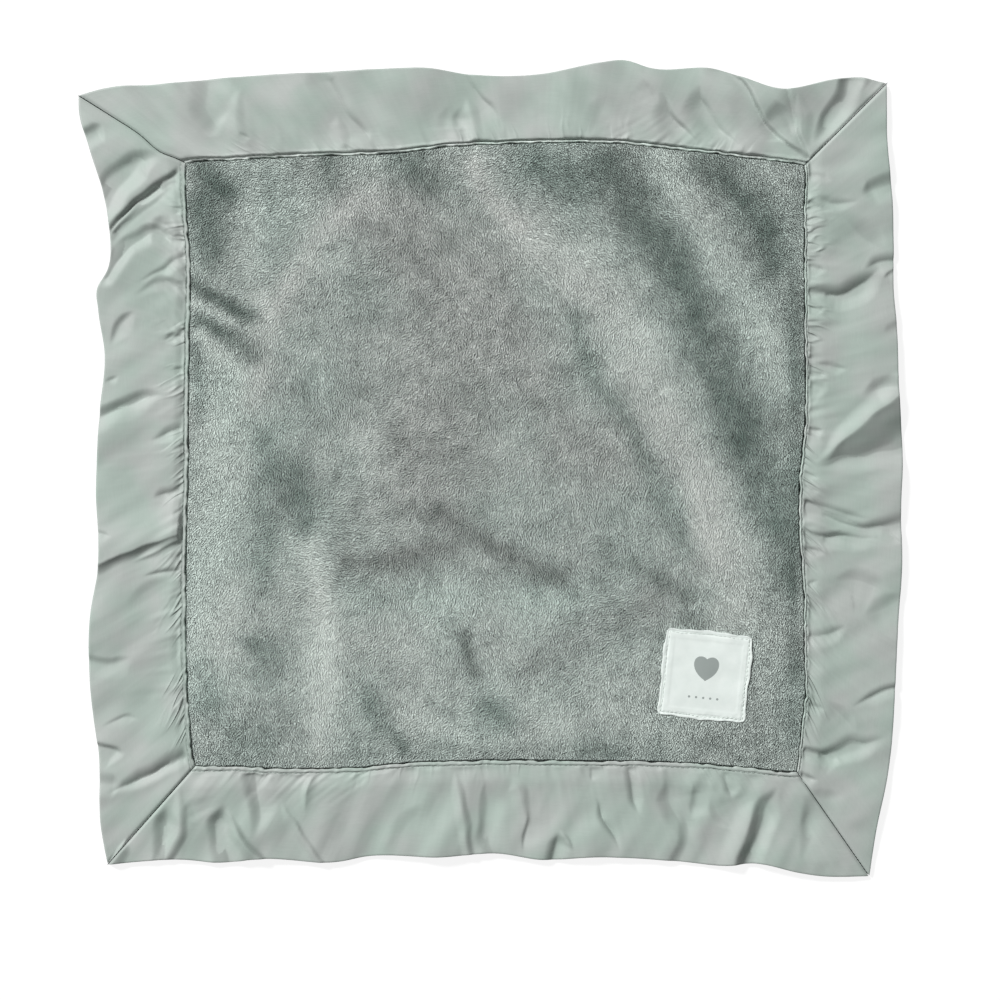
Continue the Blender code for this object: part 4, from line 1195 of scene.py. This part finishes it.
pileLook = {
    "straySize": 1.6 * mm,
    "stray": 1.7 * mm,
    "creases": [(2.8 * mm, 2.4, 0.0), (2.0 * mm, 2.2, 0.3)],  # size, turns and shift
    "breakSize": 1.4 * mm,
    "speckleSize": 0.65 * mm,
    "depth": 1.2 * mm,
    "cool": ("#60746C", "#A9B9B2", "#C6D4CC"),  # where the pile looks dark, middling and light
    "warm": ("#6B726E", "#B3B8B4", "#CCD0CB"),
}


def polyesterPlush():
    # short brushed polyester pile: matt, with broad areas of painted light and shade where the nap lies
    # over and where the pile folds
    material, tree = newMaterial("polyesterPlush")
    place = addNode(tree, "ShaderNodeTexCoord").outputs["Object"]
    nap, warmth, lean = (
        addNode(tree, "ShaderNodeAttribute", attribute_name=name).outputs["Fac"]
        for name in ("nap", "warmth", "lean"))
    stray = addNode(tree, "ShaderNodeTexNoise", {
        "Vector": place, "Scale": 1 / pileLook["straySize"], "Detail": 1.0})
    moved = addNode(tree, "ShaderNodeVectorMath", {
        0: stray.outputs[1], 1: (pileLook["stray"], pileLook["stray"], 0), 2: place},
        operation="MULTIPLY_ADD")
    lies = addNode(tree, "ShaderNodeMath", {0: lean, 1: -1.0}, operation="MULTIPLY")
    locks = []  # creases between locks of pile, large and small, coarse enough to be seen
    for size, turns, shift in pileLook["creases"]:
        shifted = addNode(tree, "ShaderNodeVectorMath", {0: moved, 1: (shift, shift, 0)})
        waves = addNode(tree, "ShaderNodeTexGabor", {
            "Vector": shifted, "Scale": 1 / size, "Frequency": turns, "Anisotropy": 0.52,
            "Orientation": lies}, gabor_type="2D")
        fromMiddle = addNode(tree, "ShaderNodeMath", {0: waves.outputs[1], 1: 0.5}, operation="SUBTRACT")
        away = addNode(tree, "ShaderNodeMath", {0: fromMiddle}, operation="ABSOLUTE")
        crease = addNode(tree, "ShaderNodeMapRange", {"Value": away, "From Min": 0.24, "From Max": 0.5})
        patchy = addNode(tree, "ShaderNodeTexNoise", {
            "Vector": shifted, "Scale": 1 / pileLook["breakSize"], "Detail": 1.0})
        share = addNode(tree, "ShaderNodeMapRange", {
            "Value": patchy, "From Min": 0.38, "From Max": 0.60, "To Min": 0.3})
        locks.append(addNode(tree, "ShaderNodeMath", {0: crease, 1: share}, operation="MULTIPLY"))
    dips = addNode(tree, "ShaderNodeMath", {0: locks[1], 1: 0.6, 2: locks[0]}, operation="MULTIPLY_ADD")
    speckle = addNode(tree, "ShaderNodeTexNoise", {
        "Vector": place, "Scale": 1 / pileLook["speckleSize"], "Detail": 1.0, "Roughness": 0.6})
    grain = addNode(tree, "ShaderNodeMath", {0: speckle, 1: 1.2, 2: -0.30}, operation="MULTIPLY_ADD")
    uneven = addNode(tree, "ShaderNodeMath", {0: grain, 1: dips}, operation="SUBTRACT")
    harsh = addNode(tree, "ShaderNodeMapRange", {  # dark pile stands open, light pile lies smooth
        "Value": nap, "From Min": -1.2, "From Max": 1.0, "To Min": 3.10, "To Max": 0.30})
    height = addNode(tree, "ShaderNodeMath", {0: uneven, 1: harsh, 2: 0.26}, operation="MULTIPLY_ADD")
    # the nap attribute carries random tone and painted light and shade into the ramps
    tone = addNode(tree, "ShaderNodeMapRange", {"Value": nap, "From Min": -1.3, "From Max": 1.3})
    ramps = []
    for name in ("cool", "warm"):
        ramps.append(addNode(tree, "ShaderNodeValToRGB", {"Fac": tone}))
        elements = ramps[-1].color_ramp.elements
        elements.new(0.5)
        for element, shade, position in zip(elements, pileLook[name], (0, 0.5, 1)):
            element.position, element.color = position, colour(shade)
    blend = addNode(tree, "ShaderNodeMapRange", {"Value": warmth, "From Min": -0.6, "From Max": 0.9})
    base = addNode(tree, "ShaderNodeMix", {"Factor": blend, 6: ramps[0], 7: ramps[1]}, data_type="RGBA")
    # painted shade in the creases between locks of pile and painted light on their tops, with random
    # speckle: the colour follows the bump's height
    depth = addNode(tree, "ShaderNodeMapRange", {
        "Value": height, "From Min": -1.0, "From Max": 0.9, "To Min": 0.465, "To Max": 1.87})
    toned = addNode(tree, "ShaderNodeVectorMath", {0: base.outputs[2], "Scale": depth}, operation="SCALE")
    relief = addNode(tree, "ShaderNodeBump", {
        "Height": height, "Strength": 1.0, "Distance": pileLook["depth"]})
    shader = addNode(tree, "ShaderNodeBsdfPrincipled", {
        "Base Color": toned, "Normal": relief, "Roughness": 0.92, "Specular IOR Level": 0.25,
        "Sheen Weight": 0.25, "Sheen Roughness": 0.5, "Sheen Tint": colour("#C9D2CC")})
    addNode(tree, "ShaderNodeOutputMaterial", {"Surface": shader})
    return material


def sewingThread(name, dark, light):
    # spun polyester thread: a dull twisted line, close to the cloth that it sinks into
    material, tree = newMaterial(name)
    place = addNode(tree, "ShaderNodeTexCoord")
    fuzz = addNode(tree, "ShaderNodeTexNoise", {
        "Vector": place.outputs["Object"], "Scale": 1 / stitch["fuzzSize"], "Detail": 2.0})
    base = addNode(tree, "ShaderNodeMix", {
        "Factor": fuzz, 6: colour(dark), 7: colour(light)}, data_type="RGBA")
    relief = addNode(tree, "ShaderNodeBump", {
        "Height": fuzz, "Strength": 0.6, "Distance": stitch["fuzzDepth"]})
    shader = addNode(tree, "ShaderNodeBsdfPrincipled", {
        "Base Color": base.outputs[2], "Normal": relief, "Roughness": 0.6})
    addNode(tree, "ShaderNodeOutputMaterial", {"Surface": shader})
    return material


def heartInk(tree, across, up):
    # one plain heart: inside where (x^2 + y^2 - 1)^3 < x^2 y^3
    x = addNode(tree, "ShaderNodeMath", {0: across, 1: label["heartHalf"]}, operation="DIVIDE")
    lifted = addNode(tree, "ShaderNodeMath", {0: up, 1: label["heartUp"]}, operation="SUBTRACT")
    y = addNode(tree, "ShaderNodeMath", {0: lifted, 1: label["heartHalf"]}, operation="DIVIDE")
    squareX = addNode(tree, "ShaderNodeMath", {0: x, 1: x}, operation="MULTIPLY")
    squareY = addNode(tree, "ShaderNodeMath", {0: y, 1: y}, operation="MULTIPLY")
    away = addNode(tree, "ShaderNodeMath", {0: squareX, 1: squareY}, operation="ADD")
    ring = addNode(tree, "ShaderNodeMath", {0: away, 1: 1.0}, operation="SUBTRACT")
    ringSquare = addNode(tree, "ShaderNodeMath", {0: ring, 1: ring}, operation="MULTIPLY")
    ringCube = addNode(tree, "ShaderNodeMath", {0: ringSquare, 1: ring}, operation="MULTIPLY")
    squares = addNode(tree, "ShaderNodeMath", {0: squareX, 1: squareY}, operation="MULTIPLY")
    cleft = addNode(tree, "ShaderNodeMath", {0: squares, 1: y}, operation="MULTIPLY")
    return addNode(tree, "ShaderNodeMath", {0: ringCube, 1: cleft}, operation="LESS_THAN")


def dotInk(tree, across, up):
    # a row of dots below the heart
    counted = addNode(tree, "ShaderNodeMath", {0: across, 1: label["dotStep"]}, operation="DIVIDE")
    moved = addNode(tree, "ShaderNodeMath", {0: counted, 1: 0.5}, operation="ADD")
    cell = addNode(tree, "ShaderNodeMath", {0: moved}, operation="FRACT")
    centred = addNode(tree, "ShaderNodeMath", {0: cell, 1: 0.5}, operation="SUBTRACT")
    x = addNode(tree, "ShaderNodeMath", {0: centred, 1: label["dotStep"]}, operation="MULTIPLY")
    y = addNode(tree, "ShaderNodeMath", {0: up, 1: label["dotsDown"]}, operation="ADD")
    squareX = addNode(tree, "ShaderNodeMath", {0: x, 1: x}, operation="MULTIPLY")
    squareY = addNode(tree, "ShaderNodeMath", {0: y, 1: y}, operation="MULTIPLY")
    away = addNode(tree, "ShaderNodeMath", {0: squareX, 1: squareY}, operation="ADD")
    dot = addNode(tree, "ShaderNodeMath", {0: away, 1: label["dotHalf"] ** 2}, operation="LESS_THAN")
    aside = addNode(tree, "ShaderNodeMath", {0: across}, operation="ABSOLUTE")
    within = addNode(tree, "ShaderNodeMath", {0: aside, 1: label["dotsReach"]}, operation="LESS_THAN")
    return addNode(tree, "ShaderNodeMath", {0: dot, 1: within}, operation="MULTIPLY")


def labelRibbon():
    # woven polyester ribbon: off-white and dull, ribbed across
    material, tree = newMaterial("wovenRibbon")
    cloth = addNode(tree, "ShaderNodeUVMap", uv_map="cloth")
    ribs = addNode(tree, "ShaderNodeTexWave", {
        "Vector": cloth, "Scale": 1 / (2 * math.pi * label["ribSize"]), "Distortion": 0.6,
        "Detail": 1.0}, wave_type="BANDS", bands_direction="Y")
    shades = addNode(tree, "ShaderNodeTexNoise", {
        "Vector": cloth, "Scale": 1 / label["shadeSize"], "Detail": 3.0})
    base = addNode(tree, "ShaderNodeMix", {
        "Factor": shades, 6: colour("#DCE6E1"), 7: colour("#EFF6F2")}, data_type="RGBA")
    axes = addNode(tree, "ShaderNodeSeparateXYZ", {0: cloth}).outputs
    marks = addNode(tree, "ShaderNodeMath", {
        0: heartInk(tree, axes[0], axes[1]), 1: dotInk(tree, axes[0], axes[1])}, operation="MAXIMUM")
    ink = addNode(tree, "ShaderNodeMath", {0: marks, 1: 0.78}, operation="MULTIPLY")
    printed = addNode(tree, "ShaderNodeMix", {
        "Factor": ink, 6: base.outputs[2], 7: colour("#76807D")}, data_type="RGBA")
    relief = addNode(tree, "ShaderNodeBump", {
        "Height": ribs.outputs[1], "Strength": 0.4, "Distance": label["ribDepth"]})
    shader = addNode(tree, "ShaderNodeBsdfPrincipled", {
        "Base Color": printed.outputs[2], "Normal": relief, "Roughness": 0.7, "Sheen Weight": 0.15})
    addNode(tree, "ShaderNodeOutputMaterial", {"Surface": shader})
    return material


satinMaterial, plushMaterial = satinBinding(), polyesterPlush()
threadMaterial, ribbonMaterial = sewingThread("spunThread", "#87938D", "#B0BBB5"), labelRibbon()
paleThread = sewingThread("paleThread", "#C6D0CA", "#E6EEE9")
shadedThread = sewingThread("shadedThread", "#3F4B46", "#56625D")  # a darker copy of the thread, as painted shade, for stitches sunk in the mitre seams and the top groove
print("materials made")

# Camera, floor and light
studio = {
    "lens": 85,
    "sensor": 36,
    "view": 1000 * picture["pixel"],  # the photograph's width on the blanket
    "focusHeight": 4 * mm,
    "worldLevel": 0.24,
    "keyPower": 909,
    "keySize": 1.5,
    "keyPlace": (-4.73, 4.73, 6.02),
    "floorSize": 30,
    "floorGlow": 0.86,
    "floorGrey": (0.20, 0.20, 0.20, 1),
}
viewMiddle = fromPicture([(500, 500)])[0]
distance = studio["view"] * studio["lens"] / studio["sensor"]
bpy.ops.object.camera_add(location=(viewMiddle[0], viewMiddle[1], distance + studio["focusHeight"]),
                          rotation=(0, 0, 0))
camera = bpy.context.object
camera.data.lens, camera.data.sensor_width = studio["lens"], studio["sensor"]
bpy.context.scene.camera = camera

bpy.ops.mesh.primitive_plane_add(size=studio["floorSize"], location=(0, 0, 0))
floor = bpy.context.object
floor.name = "floor"
floor.data.transform(floor.matrix_world)
floor.location = (0, 0, 0)
paper, tree = newMaterial("paperSweep")  # plain white paper
ray = addNode(tree, "ShaderNodeLightPath").outputs
seen = addNode(tree, "ShaderNodeMath", {
    0: ray["Is Camera Ray"], 1: ray["Is Glossy Ray"]}, operation="MAXIMUM")
seen = addNode(tree, "ShaderNodeMath", {0: seen, 1: ray["Is Transmission Ray"]}, operation="MAXIMUM")
glow = addNode(tree, "ShaderNodeMath", {0: seen, 1: studio["floorGlow"]}, operation="MULTIPLY")
glowing = addNode(tree, "ShaderNodeEmission", {"Color": (1, 1, 1, 1), "Strength": glow})
matt = addNode(tree, "ShaderNodeBsdfDiffuse", {"Color": studio["floorGrey"]})
total = addNode(tree, "ShaderNodeAddShader", {0: glowing, 1: matt})
addNode(tree, "ShaderNodeOutputMaterial", {"Surface": total})
floor.data.materials.append(paper)

world = bpy.data.worlds.new("softRoom")
bpy.context.scene.world = world
world.use_nodes = True
world.node_tree.nodes["Background"].inputs["Color"].default_value = (1, 1, 1, 1)
world.node_tree.nodes["Background"].inputs["Strength"].default_value = studio["worldLevel"]

bpy.ops.object.light_add(type="AREA", location=studio["keyPlace"])
key = bpy.context.object
key.name = "keyPanel"
key.data.shape = "SQUARE"
key.data.size = studio["keySize"]
key.data.energy = studio["keyPower"]
key.rotation_mode = "QUATERNION"
key.rotation_quaternion = key.location.to_track_quat("Z", "Y")
bpy.context.scene.view_settings.view_transform = "Standard"
print("studio set")

# Build
for name, front in (("front", True), ("back", False)):
    panel = makePanel("plushPanel_" + name, front, plushMaterial)
    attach(panel, "root")
    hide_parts(name + "_plush_panel")
print("plush panels made")
for side in plan["sides"]:
    strip = makeStrip(side, satinMaterial)
    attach(strip, "root")
    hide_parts("satin_border_" + side)
    for layer in ("front", "back"):
        # the top seam's stitches take the thread with painted shade
        thread = shadedThread if side == "top" else threadMaterial
        seam = makeStitches(f"{layer}Topstitch_{side}", seamRoute(side, layer == "front"), thread)
        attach(seam, "root")
        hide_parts(f"{layer}_topstitch_{side}")
print("binding made")
cadCorners = {"topLeft": "top_left", "topRight": "top_right",
              "bottomRight": "bottom_right", "bottomLeft": "bottom_left"}
for corner, cadCorner in cadCorners.items():
    for layer in ("front", "back"):
        seam = makeStitches(f"{layer}MitreSeam_{corner}", mitreRoute(corner, layer == "front"),
                            shadedThread, pitch=stitch["mitrePitch"], fill=stitch["mitreFill"])
        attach(seam, "root")
        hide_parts(f"{layer}_mitre_seam_{cadCorner}")
ribbon = makeLabel(ribbonMaterial)
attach(ribbon, "root")
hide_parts("sewn_label")
ribbonStitch = makeStitches("labelStitch", labelRoute(), paleThread, pitch=stitch["labelPitch"],
                            closed=True)
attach(ribbonStitch, "root")
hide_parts("label_stitch")
print("label made")
